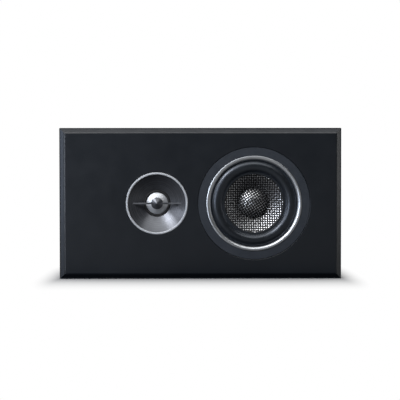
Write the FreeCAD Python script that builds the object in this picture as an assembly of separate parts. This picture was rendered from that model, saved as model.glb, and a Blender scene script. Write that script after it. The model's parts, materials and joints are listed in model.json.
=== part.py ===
"""On-wall two-way loudspeaker: a black box with a bevelled front, a horn-loaded dome tweeter and a woven-cone woofer.

Millimetres. +X is to the listener's right, +Y goes back to the wall and +Z is up. The origin is midway between the
two keyhole entries, on the outer face of the rear panel. Each driver is drawn in its own frame first: a radius from
its axis and a depth behind the front face of the baffle.
"""

import FreeCAD
import Part

import math
import os

# Cabinet
WIDTH = 340.0
HEIGHT = 182.0
DEPTH = 100.0                   # front face of the baffle to the outer face of the rear panel
BAFFLE_THICKNESS = 16.0
WALL_THICKNESS = 12.0
REAR_THICKNESS = 12.0
REAR_LIP = 6.0                  # wall left outside the rear panel's rebate
PANEL_FIT = 0.2                 # glue gap round the rear panel
CORNER_RADIUS = 1.0             # long edges of the box
BEVEL_LAND = 1.2                # flat strip outside the bevel
BEVEL_WIDTH = 5.0
BEVEL_DEPTH = 3.6
BEVEL_SOFTENING = 3.0           # rounding where the bevel meets the face
EDGE_BREAK = 0.35               # broken edge round the driver cut-outs

# Wall hanging
KEYHOLE_SPACING = 203.2
KEYHOLE_DROP = 41.0             # entries below the top of the box
KEYHOLE_ENTRY_RADIUS = 5.0
KEYHOLE_SLOT_RADIUS = 2.5
KEYHOLE_SLOT_LENGTH = 11.0      # entry centre to the top of the slot's travel
HANGER_WIDTH = 24.0
HANGER_MARGIN = 17.0            # plate beyond the keyhole, above and below
HANGER_THICKNESS = 1.6
HANGER_FIT = 0.2
HEAD_ROOM_WIDTH = 16.0          # pocket for the wall screw's head, behind the plate
HEAD_ROOM_CORNER = 3.0
HEAD_ROOM_DEPTH = 7.0
BUMPER_RADIUS = 6.5
BUMPER_HEIGHT = 3.0
BUMPER_DRAFT = 0.8
BUMPER_INSET = 18.0             # bumper centre from the edge of the box

# Woofer, from the outside in
WOOFER_X = 64.6
BEZEL_DIAMETER = 135.2
BEZEL_THICKNESS = 2.5
BEZEL_RECESS = 0.4
BEZEL_GAP = 0.35
TRIM_DIAMETER = 114.6
TRIM_WIDTH = 5.1
TRIM_PROUD = 0.4
TRIM_CROWN = 1.2                # crest inside the outer edge
TRIM_SHOULDER = 0.25            # fall from the crest to the outer edge
TRIM_INNER_DEPTH = 2.4          # lower edge of the polished slope
FLANGE_THICKNESS = 3.5
FLANGE_INSET = 0.6              # basket flange inside the bezel's edge
GASKET_THICKNESS = 1.0
SEAT_DEPTH = 4.6                # seat of the surround, and of the cone's lip
SEAT_THICKNESS = 2.2
BASKET_WALL = 1.6
BASKET_CLEARANCE = 0.7
RUBBER_THICKNESS = 1.0
ROLL_MARGIN = 0.4
ROLL_WIDTH = 14.0
ROLL_HEIGHT = 3.8
LIP_WIDTH = 2.4
CONE_DEPTH = 17.5
CONE_FLARE = 1.5                # how far the cone bows forward of a straight one
CONE_THICKNESS = 0.8
NECK_LENGTH = 4.0
CAP_RADIUS = 18.4
CAP_HEIGHT = 8.4
CAP_THICKNESS = 0.7
FORMER_RADIUS = 13.0            # outside
FORMER_THICKNESS = 0.3
COIL_THICKNESS = 0.65
COIL_LENGTH = 12.0
GLUE = 0.1
GAP = 0.45                      # running gap each side of a moving coil
SPIDER_DROP = 2.5               # spider behind the end of the cone's neck
SPIDER_ROOM = 8.5
SPIDER_THICKNESS = 0.6
SPIDER_WAVES = 4
SPIDER_WAVE_HEIGHT = 1.3
SPIDER_COLLAR = 3.0
SPIDER_FLANGE = 4.6
BASE_DIAMETER = 82.4
BASE_THICKNESS = 2.5
BASE_HOLE_RADIUS = 24.0
LEG_THICKNESS = 3.0
LEG_COUNT = 6
LEG_WIDTH_DEG = 14.0
VENT_MARGIN = 1.0               # wall left above and below each vent of the base
TOP_PLATE_DIAMETER = 74.0
TOP_PLATE_THICKNESS = 5.0
MAGNET_DIAMETER = 80.0
MAGNET_HOLE_RADIUS = 18.0
MAGNET_THICKNESS = 14.0
YOKE_THICKNESS = 5.0
YOKE_CHAMFER = 1.5
POLE_VENT_RADIUS = 4.0
WOOFER_SCREW_COUNT = 6
TAG_STRIP_WIDTH = 22.0
TAG_STRIP_THICKNESS = 1.5
TAG_STRIP_HEIGHT = 8.0
TAG_PAD_HEIGHT = 1.5            # flat boss on the basket under the strip
TAG_SPREAD = 8.0                # each solder tag from the middle of its strip
TAG_WIDTH = 4.8
TAG_THICKNESS = 0.8
TAG_LENGTH = 12.0
TINSEL_RADIUS = 0.7
TINSEL_RISE = 8.0               # straight run from the tag towards the cone
TINSEL_TURN = 6.5               # then this far in and forward
TINSEL_GAP = 0.2                # glue between a lead's end and the cone

# Tweeter, from the outside in
TWEETER_X = -52.6
RING_DIAMETER = 75.0
RING_WIDTH = 2.7
RING_PROUD = 0.3
RING_DEPTH = 1.6
RING_GAP = 0.3
HORN_THROAT_RADIUS = 16.4
HORN_DEPTH = 12.0
HORN_DISH = 0.4                 # how far the horn bows back from a straight cone
HORN_WALL = 9.0
TUBE_THICKNESS = 2.4
HORN_FLANGE_DIAMETER = 96.0
HORN_FLANGE_THICKNESS = 4.0
HORN_RIBS = 6
HORN_RIB_DEG = 10.0
HORN_SEAT = 1.2                 # dome clamp behind the throat
DOME_RADIUS = 13.1
DOME_HEIGHT = 4.2
DOME_THICKNESS = 0.4
DOME_ROLL_HEIGHT = 1.5
DOME_EDGE_THICKNESS = 0.5
DOME_CLAMP_WIDTH = 3.4
DOME_CLAMP_THICKNESS = 1.0
TWEETER_COIL_LENGTH = 3.4
TWEETER_COIL_THICKNESS = 0.35
TWEETER_FORMER_THICKNESS = 0.3
TWEETER_GAP = 0.35
TWEETER_PLATE_RADIUS = 26.0
TWEETER_PLATE_THICKNESS = 4.0
TWEETER_MAGNET_RADIUS = 20.5
TWEETER_MAGNET_THICKNESS = 9.0
TWEETER_MAGNET_ROOM = 2.5       # magnet clear of the coil
TWEETER_YOKE_THICKNESS = 4.5
PLATE_RIM = 2.2                 # horn rim round the tweeter's top plate
PLATE_FIT = 0.2
TWEETER_SCREW_COUNT = 4
PLATE_SCREW_COUNT = 3
BULLET_RADIUS = 7.2
BULLET_HEIGHT = 4.6
BULLET_CLEARANCE = 1.2          # bullet in front of the dome
BULLET_EDGE = 0.8
FIN_SPAN = 58.0
FIN_THICKNESS = 1.9
FIN_SOCKET = 1.2                # fin end inside the horn wall
FIN_FIT = 0.1

# Screws
SCREW_RADIUS = 1.8
SCREW_LENGTH = 12.0
SCREW_HEAD_RADIUS = 3.2
SCREW_HEAD_HEIGHT = 2.0
SCREW_CLEARANCE = 0.3
PILOT_CLEARANCE = 0.05
PLATE_SCREW_RADIUS = 1.4
PLATE_SCREW_HEAD_RADIUS = 2.2
WOOFER_SCREW_TURN = 30.0        # first screw of each circle, in degrees
TWEETER_SCREW_TURN = 45.0
PLATE_SCREW_TURN = 90.0

# Terminal cup
CUP_X = -16.0
CUP_DROP = 30.0                 # middle of the cup below the middle of the box
CUP_WIDTH = 64.0                # inside, at the mouth
CUP_HEIGHT = 46.0
CUP_DEPTH = 30.0
CUP_DRAFT = 2.5
CUP_CORNER = 6.0
CUP_WALL = 2.5
CUP_FLANGE_MARGIN = 11.0
CUP_FLANGE_THICKNESS = 2.0
CUP_FIT = 0.5
POST_SPACING = 19.05
POST_RADIUS = 3.0
POST_LENGTH = 22.0
POST_COLLAR_RADIUS = 6.0
POST_COLLAR_THICKNESS = 2.0
POST_TAIL = 10.0                # shank behind the cup's floor
POST_SOCKET_RADIUS = 2.0
POST_SOCKET_DEPTH = 14.0
POST_WIRE_HOLE_RADIUS = 1.2
POST_FIT = 0.06
WASHER_RADIUS = 5.8
WASHER_THICKNESS = 1.0
NUT_RADIUS = 6.6
NUT_LENGTH = 17.0
NUT_FLUTES = 12
NUT_FLUTE_RADIUS = 1.2
LOCK_NUT_FLATS = 10.0
LOCK_NUT_THICKNESS = 3.0
SOLDER_TAG_RADIUS = 5.0
SOLDER_TAG_THICKNESS = 0.8
SOLDER_TAG_LENGTH = 12.0

# Crossover
BOARD_MARGIN = 7.0              # board from the left-hand wall
BOARD_WIDTH = 78.0
BOARD_HEIGHT = 104.0
BOARD_THICKNESS = 1.6
BOARD_SCREW_INSET = 6.0
SPACER_RADIUS = 4.0
SPACER_HEIGHT = 6.0
PART_MARGIN = 4.0               # between components, and from the board's edge
BIG_CHOKE_BORE = 9.0
BIG_CHOKE_RADIUS = 19.0
BIG_CHOKE_LENGTH = 16.0
BIG_CHOKE_Z = 27.0              # chokes above the middle of the board
SMALL_CHOKE_BORE = 7.0
SMALL_CHOKE_RADIUS = 14.0
SMALL_CHOKE_LENGTH = 12.0
SMALL_CHOKE_X = 22.0
FILM_RADIUS = 8.5
FILM_LENGTH = 32.0
FILM_Z = -4.0
CAN_RADIUS = 7.0
CAN_LENGTH = 28.0
RESISTOR_LENGTH = 38.0
RESISTOR_SIDE = 9.0
LEAD_RADIUS = 0.5
LEAD_REACH = 5.0                # lead beyond each end of a component

# Wires and damping
WIRE_RADIUS = 1.2
BEND_SHARE = 0.45               # of the shorter run, taken up by each bend
SOLDER_GAP = 0.1
SOLDER_LENGTH = 5.0             # wire laid along its tag
PAD_INSET = 4.0                 # row of wire pads from the board's right edge
PAD_PITCH = 6.0
TWEETER_PAD_INSET = 10.0        # tweeter's wires in from the edge of the board
PAD_THICKNESS = 26.0
PAD_LENGTH = 52.0               # front to back
PAD_MARGIN = 6.0                # wadding clear of the top and bottom walls
PAD_ROUND = 8.0
PAD_FIT = 0.3

# Derived places
CENTRE_Z = KEYHOLE_DROP - HEIGHT / 2             # middle of the box
CUP_Z = CENTRE_Z - CUP_DROP
NECK_RADIUS = FORMER_RADIUS + GLUE
TRIM_RADIUS = TRIM_DIAMETER / 2
TRIM_INNER_RADIUS = TRIM_RADIUS - TRIM_WIDTH
ROLL_OUTER = TRIM_INNER_RADIUS - ROLL_MARGIN
ROLL_INNER = ROLL_OUTER - ROLL_WIDTH
CONE_RADIUS = ROLL_INNER - LIP_WIDTH
SEAT_RADIUS = TRIM_RADIUS + GLUE * 2
BASKET_RADIUS = SEAT_RADIUS + BASKET_WALL
WOOFER_HOLE_RADIUS = BASKET_RADIUS + BASKET_CLEARANCE
FLANGE_RADIUS = BEZEL_DIAMETER / 2 - FLANGE_INSET
WOOFER_SCREW_CIRCLE = (WOOFER_HOLE_RADIUS + FLANGE_RADIUS) / 2
FLANGE_FRONT = BEZEL_RECESS + BEZEL_THICKNESS
FLANGE_BACK = FLANGE_FRONT + FLANGE_THICKNESS
REBATE_FLOOR = FLANGE_BACK + GASKET_THICKNESS
RUBBER_FRONT = SEAT_DEPTH - RUBBER_THICKNESS
NECK_DEPTH = SEAT_DEPTH + CONE_DEPTH
NECK_END = NECK_DEPTH + NECK_LENGTH
SPIDER_SEAT = NECK_END + SPIDER_DROP
BASE_FRONT = SPIDER_SEAT + SPIDER_ROOM
PLATE_FRONT = BASE_FRONT + BASE_THICKNESS
MAGNET_FRONT = PLATE_FRONT + TOP_PLATE_THICKNESS
YOKE_FRONT = MAGNET_FRONT + MAGNET_THICKNESS
COIL_MIDDLE = PLATE_FRONT + TOP_PLATE_THICKNESS / 2
COIL_RADIUS = FORMER_RADIUS + GLUE + COIL_THICKNESS
BASE_RADIUS = BASE_DIAMETER / 2
TAG_PAD_FACE = BASE_RADIUS + TAG_PAD_HEIGHT
RING_RADIUS = RING_DIAMETER / 2
MOUTH_RADIUS = RING_RADIUS - RING_WIDTH
HORN_FLANGE_BACK = BAFFLE_THICKNESS + HORN_FLANGE_THICKNESS
CLAMP_FRONT = HORN_DEPTH + HORN_SEAT
CLAMP_BACK = CLAMP_FRONT + DOME_CLAMP_THICKNESS
CLAMP_RADIUS = HORN_THROAT_RADIUS + DOME_CLAMP_WIDTH
RIM_INNER = TWEETER_PLATE_RADIUS + PLATE_FIT
RIM_OUTER = RIM_INNER + PLATE_RIM
TWEETER_PLATE_BACK = CLAMP_BACK + TWEETER_PLATE_THICKNESS
TWEETER_MAGNET_BACK = TWEETER_PLATE_BACK + TWEETER_MAGNET_THICKNESS
TWEETER_COIL_RADIUS = DOME_RADIUS + TWEETER_COIL_THICKNESS + GLUE
DOME_BASE = CLAMP_FRONT - DOME_EDGE_THICKNESS
BULLET_BASE = DOME_BASE - DOME_HEIGHT - BULLET_CLEARANCE
HORN_SCREW_CIRCLE = (RING_RADIUS + HORN_FLANGE_DIAMETER / 2) / 2
PLATE_SCREW_CIRCLE = (TWEETER_MAGNET_RADIUS + TWEETER_PLATE_RADIUS) / 2
BOARD_X = WALL_THICKNESS + BOARD_MARGIN + (BOARD_WIDTH - WIDTH) / 2
BOARD_BACK = DEPTH - REAR_THICKNESS - SPACER_HEIGHT
BOARD_FRONT = BOARD_BACK - BOARD_THICKNESS
CUP_FLOOR = CUP_DEPTH - CUP_FLANGE_THICKNESS     # floor inside the rear face
CUP_BACK = CUP_FLOOR + CUP_WALL

# The cone and the horn are arcs through three points
CONE_LINE = (
    (CONE_RADIUS, SEAT_DEPTH),
    ((CONE_RADIUS + NECK_RADIUS) / 2, SEAT_DEPTH + CONE_DEPTH / 2 - CONE_FLARE),
    (NECK_RADIUS, NECK_DEPTH),
)
HORN_LINE = (
    (MOUTH_RADIUS, RING_DEPTH),
    ((MOUTH_RADIUS + HORN_THROAT_RADIUS) / 2, (RING_DEPTH + HORN_DEPTH) / 2 + HORN_DISH),
    (HORN_THROAT_RADIUS, HORN_DEPTH),
)


def vec(x, y, z=0.0):
    return FreeCAD.Vector(x, y, z)


ORIGIN = vec(0, 0)
BACKWARD = vec(0, 1)


def section(start, *steps):
    """Closed face in the radius-depth plane. A step is a corner, or a pair (point on the arc, end of the arc)."""
    edges = []
    here = start
    for step in (*steps, start):
        if isinstance(step[0], tuple):
            through, end = step
            edges.append(Part.Arc(vec(*here), vec(*through), vec(*end)).toShape())
        else:
            end = step
            edges.append(Part.LineSegment(vec(*here), vec(*end)).toShape())
        here = end
    return Part.Face(Part.Wire(edges))


def turned(face, sweep_deg=360.0, middle_deg=0.0):
    """Revolves a section about the driver's axis, or a sector of that sweep about its middle direction."""
    solid = face.revolve(ORIGIN, BACKWARD, sweep_deg)
    solid.rotate(ORIGIN, BACKWARD, middle_deg - sweep_deg / 2)
    return solid


def ring(inner, outer, front, back):
    return turned(section((inner, front), (outer, front), (outer, back), (inner, back)))


def rod(radius, front, back, x=0.0, z=0.0):
    return Part.makeCylinder(radius, back - front, vec(x, front, z), BACKWARD)


def block(x_span, depth_span, z_span):
    lows, highs = zip(x_span, depth_span, z_span)
    return Part.makeBox(*(high - low for low, high in zip(lows, highs)), vec(*lows))


def circle_spots(count, radius, first_deg=0.0):
    angles = [math.radians(first_deg + 360.0 * i / count) for i in range(count)]
    return [(radius * math.cos(a), radius * math.sin(a)) for a in angles]


def corner_spots(width, height):
    return [(x * width / 2, z * height / 2) for x in (-1, 1) for z in (-1, 1)]


def rounded_outline(width, height, radius, depth):
    """Rounded rectangle about the axis, square to it, at one depth."""
    x, z = width / 2, height / 2
    arc = radius * (1 - math.sqrt(0.5))
    corners = [(x, z, -1, -1), (-x, z, 1, -1), (-x, -z, 1, 1), (x, -z, -1, 1)]
    spots = []
    for index, (cx, cz, sx, sz) in enumerate(corners):
        along_z = vec(cx, depth, cz + sz * radius)
        along_x = vec(cx + sx * radius, depth, cz)
        middle = vec(cx + sx * arc, depth, cz + sz * arc)
        spots.append((along_z, middle, along_x) if index % 2 == 0 else (along_x, middle, along_z))
    edges = []
    for index, (first, middle, last) in enumerate(spots):
        edges.append(Part.Arc(first, middle, last).toShape())
        edges.append(Part.LineSegment(last, spots[(index + 1) % 4][0]).toShape())
    return Part.Wire(edges)


def rounded_plate(width, height, radius, front, back):
    return Part.Face(rounded_outline(width, height, radius, front)).extrude(vec(0, back - front))


def arc_depth(line, radius):
    """Depth of a three-point arc where it crosses a radius."""
    curve = Part.Arc(*(vec(*p) for p in line))
    level = Part.LineSegment(vec(radius, -DEPTH), vec(radius, DEPTH))
    return curve.toShape().distToShape(level.toShape())[1][0][0].y


def screw(radius, length, head_radius, head_height):
    """Countersunk screw that points back, with the flat of its head at depth 0."""
    return turned(section((0, 0), (head_radius, 0), (radius, head_height), (radius, length), (0, length)))


def flipped(shape):
    """The same shape turned to point forwards."""
    return shape.rotated(ORIGIN, vec(0, 0, 1), 180)


def copies(shape, spots, depth=0.0):
    return [shape.translated(vec(x, depth, z)) for x, z in spots]


def tube(points, radius):
    """Wire along straight runs joined by arcs as large as the runs allow."""
    edges = []
    here = points[0]
    for before, corner, after in zip(points, points[1:], points[2:]):
        towards, onwards = (before - corner), (after - corner)
        reach = BEND_SHARE * min(towards.Length, onwards.Length)
        towards.normalize()
        onwards.normalize()
        start, end = corner + towards * reach, corner + onwards * reach
        turn = math.pi - towards.getAngle(onwards)
        bend = reach / math.tan(turn / 2)
        inward = (towards + onwards).normalize()
        middle = corner + inward * (bend / math.cos(turn / 2) - bend)
        edges.append(Part.LineSegment(here, start).toShape())
        edges.append(Part.Arc(start, middle, end).toShape())
        here = end
    edges.append(Part.LineSegment(here, points[-1]).toShape())
    path = Part.Wire(edges)
    first = (points[1] - points[0]).normalize()
    end_face = Part.Wire(Part.makeCircle(radius, points[0], first))
    return path.makePipeShell([end_face], True, True)


def in_row(shape, x):
    """Moves a shape from its driver's frame to the frame of the whole speaker."""
    return shape.translated(vec(x, -DEPTH, CENTRE_Z))


def box_outline(margin, depth):
    """Sharp rectangle inside the outline of the box, at one depth."""
    x, z = WIDTH / 2 - margin, HEIGHT / 2 - margin
    corners = [vec(-x, depth, -z), vec(x, depth, -z), vec(x, depth, z), vec(-x, depth, z)]
    return Part.makePolygon([*corners, corners[0]])


def woofer_screw_spots():
    return circle_spots(WOOFER_SCREW_COUNT, WOOFER_SCREW_CIRCLE, WOOFER_SCREW_TURN)


def tweeter_screw_spots():
    return circle_spots(TWEETER_SCREW_COUNT, HORN_SCREW_CIRCLE, TWEETER_SCREW_TURN)


def edge_break(radius):
    return turned(section((radius, 0), (radius + EDGE_BREAK, 0), (radius, EDGE_BREAK)))


def front_baffle():
    """Bevelled front panel with the two stepped cut-outs."""
    plate = rounded_plate(WIDTH, HEIGHT, CORNER_RADIUS, BEVEL_DEPTH, BAFFLE_THICKNESS)
    bevel = Part.makeLoft(
        [box_outline(BEVEL_LAND + BEVEL_WIDTH, 0), box_outline(BEVEL_LAND, BEVEL_DEPTH)], True, True
    )
    creases = [edge for edge in bevel.Edges if edge.BoundBox.YMax < BEVEL_DEPTH / 2]
    bevel = bevel.makeFillet(BEVEL_SOFTENING, creases)
    rebate = BEZEL_DIAMETER / 2 + BEZEL_GAP
    pilot = SCREW_RADIUS + PILOT_CLEARANCE
    woofer = [
        rod(rebate, 0, REBATE_FLOOR),
        rod(WOOFER_HOLE_RADIUS, 0, BAFFLE_THICKNESS),
        edge_break(rebate),
    ]
    reach = FLANGE_FRONT + SCREW_LENGTH + SCREW_CLEARANCE
    woofer += [rod(pilot, REBATE_FLOOR, reach, x, z) for x, z in woofer_screw_spots()]
    hole = RING_RADIUS + RING_GAP
    tweeter = [rod(hole, 0, BAFFLE_THICKNESS), edge_break(hole)]
    start = HORN_FLANGE_BACK - SCREW_LENGTH - SCREW_CLEARANCE
    tweeter += [rod(pilot, start, BAFFLE_THICKNESS, x, z) for x, z in tweeter_screw_spots()]
    cuts = [cut.translated(vec(WOOFER_X, 0)) for cut in woofer]
    cuts += [cut.translated(vec(TWEETER_X, 0)) for cut in tweeter]
    return plate.fuse(bevel).cut(cuts).removeSplitter()


def cabinet_wrap():
    """Folded wall of the box: top, bottom and both ends in one piece, rebated at the back."""
    outer = rounded_plate(WIDTH, HEIGHT, CORNER_RADIUS, BAFFLE_THICKNESS, DEPTH)
    inside = Part.Face(box_outline(WALL_THICKNESS, BAFFLE_THICKNESS)).extrude(vec(0, DEPTH - BAFFLE_THICKNESS))
    rebate = Part.Face(box_outline(REAR_LIP, DEPTH - REAR_THICKNESS)).extrude(vec(0, REAR_THICKNESS))
    return outer.cut([inside, rebate])


def keyhole(front, back, grow=0.0):
    """Round entry with a slot above it, about the entry's centre."""
    slot = KEYHOLE_SLOT_RADIUS + grow
    top = KEYHOLE_SLOT_LENGTH
    neck = block((-slot, slot), (front, back), (0, top))
    return rod(KEYHOLE_ENTRY_RADIUS + grow, front, back).fuse([neck, rod(slot, front, back, 0, top)]).removeSplitter()


def hanger_height():
    return KEYHOLE_SLOT_LENGTH + KEYHOLE_SLOT_RADIUS + KEYHOLE_ENTRY_RADIUS + 2 * HANGER_MARGIN


def hanger_middle():
    """Middle of the hanger plate above the keyhole's entry."""
    return (KEYHOLE_SLOT_LENGTH + KEYHOLE_SLOT_RADIUS - KEYHOLE_ENTRY_RADIUS) / 2


def hanger_screw_spots():
    reach = hanger_height() / 2 - HANGER_MARGIN / 2
    return [(0, hanger_middle() + side * reach) for side in (-1, 1)]


def hanger_plate():
    """Steel keyhole plate, with its outer face at depth 0 and its back in front of that."""
    outline = rounded_plate(HANGER_WIDTH, hanger_height(), CUP_CORNER, -HANGER_THICKNESS, 0)
    outline = outline.translated(vec(0, 0, hanger_middle()))
    sink = flipped(screw(SCREW_RADIUS + PILOT_CLEARANCE, SCREW_LENGTH, SCREW_HEAD_RADIUS + PILOT_CLEARANCE,
                         SCREW_HEAD_HEIGHT))
    return outline.cut([keyhole(-HANGER_THICKNESS, 0), *copies(sink, hanger_screw_spots())])


def hanger_pocket():
    """Pocket in the rear panel for a hanger plate, its screws and the head of the wall screw."""
    fit = HANGER_FIT
    seat = rounded_plate(HANGER_WIDTH + 2 * fit, hanger_height() + 2 * fit, CUP_CORNER + fit, -HANGER_THICKNESS, 0)
    room = rounded_plate(
        HEAD_ROOM_WIDTH,
        KEYHOLE_SLOT_LENGTH + HEAD_ROOM_WIDTH,
        HEAD_ROOM_CORNER,
        -HANGER_THICKNESS - HEAD_ROOM_DEPTH,
        0,
    ).translated(vec(0, 0, KEYHOLE_SLOT_LENGTH / 2))
    hole = flipped(screw(SCREW_RADIUS + PILOT_CLEARANCE, SCREW_LENGTH + SCREW_CLEARANCE,
                         SCREW_HEAD_RADIUS + PILOT_CLEARANCE, SCREW_HEAD_HEIGHT))
    cuts = [room, *copies(hole, hanger_screw_spots())]
    return seat.translated(vec(0, 0, hanger_middle())).fuse(cuts)


def hanger_places():
    return [vec(side * KEYHOLE_SPACING / 2, 0) for side in (-1, 1)]


def cup_screw_spots():
    margin = CUP_FLANGE_MARGIN
    return corner_spots(CUP_WIDTH + margin, CUP_HEIGHT + margin)


def board_screw_spots():
    return corner_spots(BOARD_WIDTH - 2 * BOARD_SCREW_INSET, BOARD_HEIGHT - 2 * BOARD_SCREW_INSET)


def cup_screw():
    return flipped(screw(SCREW_RADIUS, REAR_THICKNESS, SCREW_HEAD_RADIUS, SCREW_HEAD_HEIGHT))


def rear_panel():
    """Inset back with the terminal cut-out and the pockets of the two hangers."""
    panel = Part.Face(box_outline(REAR_LIP + PANEL_FIT, 0)).extrude(vec(0, -REAR_THICKNESS))
    panel = panel.translated(vec(0, 0, CENTRE_Z))
    cuts = [hanger_pocket().translated(place) for place in hanger_places()]
    wall = 2 * (CUP_WALL + CUP_FIT)
    opening = rounded_plate(CUP_WIDTH + wall, CUP_HEIGHT + wall, CUP_CORNER + CUP_WALL, -REAR_THICKNESS, 0)
    pilot = rod(SCREW_RADIUS + PILOT_CLEARANCE, -REAR_THICKNESS, 0)
    cuts += [cut.translated(vec(CUP_X, 0, CUP_Z)) for cut in (opening, *copies(pilot, cup_screw_spots()))]
    board_hole = rod(SCREW_RADIUS + PILOT_CLEARANCE, -REAR_THICKNESS, -REAR_THICKNESS / 4)
    cuts += [cut.translated(vec(BOARD_X, 0, CENTRE_Z)) for cut in copies(board_hole, board_screw_spots())]
    return panel.cut(cuts)


def bumper():
    """Rubber stand-off that keeps the box clear of the wall."""
    return Part.makeCone(BUMPER_RADIUS, BUMPER_RADIUS - BUMPER_DRAFT, BUMPER_HEIGHT, ORIGIN, BACKWARD)


def woofer_bezel():
    outer, chamfer = BEZEL_DIAMETER / 2, EDGE_BREAK
    return turned(section(
        (SEAT_RADIUS, BEZEL_RECESS), (outer - chamfer, BEZEL_RECESS), (outer, BEZEL_RECESS + chamfer),
        (outer, FLANGE_FRONT), (SEAT_RADIUS, FLANGE_FRONT),
    ))


def arc_middle(width, drop):
    """Middle of an arc that starts level and falls by the drop over the width, as its own width and drop."""
    radius = (width ** 2 + drop ** 2) / (2 * drop)
    half_angle = math.atan2(drop, width)
    return radius * math.sin(half_angle), radius * (1 - math.cos(half_angle))


def woofer_trim_ring():
    """Polished ring: a low crown outside its crest, and a round slope that falls in towards the surround."""
    outer, inner = TRIM_RADIUS, TRIM_INNER_RADIUS
    crest = outer - TRIM_CROWN
    shoulder = TRIM_SHOULDER - TRIM_PROUD
    inner_half, inner_drop = arc_middle(crest - inner, TRIM_INNER_DEPTH + TRIM_PROUD)
    outer_half, outer_drop = arc_middle(TRIM_CROWN, TRIM_SHOULDER)
    return turned(section(
        (inner, RUBBER_FRONT), (inner, TRIM_INNER_DEPTH),
        ((crest - inner_half, inner_drop - TRIM_PROUD), (crest, -TRIM_PROUD)),
        ((crest + outer_half, outer_drop - TRIM_PROUD), (outer, shoulder)), (outer, RUBBER_FRONT),
    ))


def woofer_gasket():
    seal = ring(WOOFER_HOLE_RADIUS, FLANGE_RADIUS, FLANGE_BACK, REBATE_FLOOR)
    hole = rod(SCREW_RADIUS + SCREW_CLEARANCE, FLANGE_BACK, REBATE_FLOOR)
    return seal.cut(copies(hole, woofer_screw_spots()))


def woofer_basket():
    """Die-cast frame: flange, surround seat, open legs, spider seat and the base that carries the motor."""
    seat_inner = ROLL_OUTER - ROLL_MARGIN / 2
    seat_back = SEAT_DEPTH + SEAT_THICKNESS
    spider_outer = BASE_RADIUS - LEG_THICKNESS
    spider_inner = spider_outer - SPIDER_FLANGE
    shell = turned(section(
        (SEAT_RADIUS, FLANGE_FRONT), (FLANGE_RADIUS, FLANGE_FRONT), (FLANGE_RADIUS, FLANGE_BACK),
        (BASKET_RADIUS, FLANGE_BACK), (BASKET_RADIUS, seat_back), (BASE_RADIUS, SPIDER_SEAT + SEAT_THICKNESS),
        (BASE_RADIUS, PLATE_FRONT), (BASE_HOLE_RADIUS, PLATE_FRONT), (BASE_HOLE_RADIUS, BASE_FRONT),
        (spider_outer, BASE_FRONT), (spider_outer, SPIDER_SEAT + SEAT_THICKNESS),
        (spider_inner, SPIDER_SEAT + SEAT_THICKNESS), (spider_inner, SPIDER_SEAT), (spider_outer, SPIDER_SEAT),
        (BASKET_RADIUS - LEG_THICKNESS, seat_back), (seat_inner, seat_back), (seat_inner, SEAT_DEPTH),
        (SEAT_RADIUS, SEAT_DEPTH),
    ))
    pitch = 360.0 / LEG_COUNT
    front, back = seat_back + LEG_THICKNESS, SPIDER_SEAT - LEG_THICKNESS / 2
    opening = section((spider_inner, front), (FLANGE_RADIUS, front), (FLANGE_RADIUS, back), (spider_inner, back))
    low, high = SPIDER_SEAT + SEAT_THICKNESS + VENT_MARGIN, BASE_FRONT - VENT_MARGIN
    vent = section((spider_inner, low), (FLANGE_RADIUS, low), (FLANGE_RADIUS, high), (spider_inner, high))
    windows = []
    for leg in range(LEG_COUNT):
        middle = (leg + 0.5) * pitch
        windows.append(turned(opening, pitch - LEG_WIDTH_DEG, middle))
        windows.append(turned(vent, pitch / 2, middle))
    sink = screw(SCREW_RADIUS + SCREW_CLEARANCE, SCREW_LENGTH, SCREW_HEAD_RADIUS + PILOT_CLEARANCE,
                 SCREW_HEAD_HEIGHT)
    pad = block((-TAG_PAD_FACE, -spider_outer), (SPIDER_SEAT + SEAT_THICKNESS, PLATE_FRONT),
                (-TAG_STRIP_WIDTH / 2, TAG_STRIP_WIDTH / 2))
    pad = pad.cut(rod(spider_outer + LEG_THICKNESS / 2, 0, PLATE_FRONT))
    return shell.cut(windows).fuse(pad).cut(copies(sink, woofer_screw_spots(), FLANGE_FRONT))


def woofer_surround():
    """Rubber half roll between the seat and the lip of the cone."""
    middle = (ROLL_OUTER + ROLL_INNER) / 2
    crest = RUBBER_FRONT - ROLL_HEIGHT
    front, back, wall = RUBBER_FRONT, SEAT_DEPTH, RUBBER_THICKNESS
    return turned(section(
        (TRIM_RADIUS, front), (ROLL_OUTER, front), ((middle, crest), (ROLL_INNER, front)), (CONE_RADIUS, front),
        (CONE_RADIUS, back), (ROLL_INNER + wall, back), ((middle, crest + wall), (ROLL_OUTER - wall, back)),
        (TRIM_RADIUS, back),
    ))


def woofer_cone():
    """Woven cone with a flat lip at the edge and a short neck for the voice coil's former."""
    (edge, top), (bow, bow_depth), (neck, bottom) = CONE_LINE
    wall = CONE_THICKNESS
    return turned(section(
        (ROLL_INNER, top), (edge, top), ((bow, bow_depth), (neck, bottom)), (neck, NECK_END),
        (neck + wall, NECK_END), (neck + wall, bottom + wall / 2),
        ((bow + wall / 2, bow_depth + wall), (edge, top + wall)), (ROLL_INNER, top + wall),
    ))


def dome_section(radius, base, height, wall):
    """Thin dome, open at the back, as the section to turn."""
    sphere = (radius ** 2 + height ** 2) / (2 * height)
    share = math.sqrt(0.5)
    half = radius * share
    rise = math.sqrt(sphere ** 2 - half ** 2) - (sphere - height)
    inner, low = radius - wall, height - wall
    inner_sphere = (inner ** 2 + low ** 2) / (2 * low)
    inner_rise = math.sqrt(inner_sphere ** 2 - (inner * share) ** 2) - (inner_sphere - low)
    return section(
        (radius, base), ((half, base - rise), (0, base - height)), (0, base - low),
        ((inner * share, base - inner_rise), (inner, base)),
    )


def woofer_dust_cap():
    rim = arc_depth(CONE_LINE, CAP_RADIUS) - GLUE
    return turned(dome_section(CAP_RADIUS, rim, CAP_HEIGHT, CAP_THICKNESS))


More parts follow.
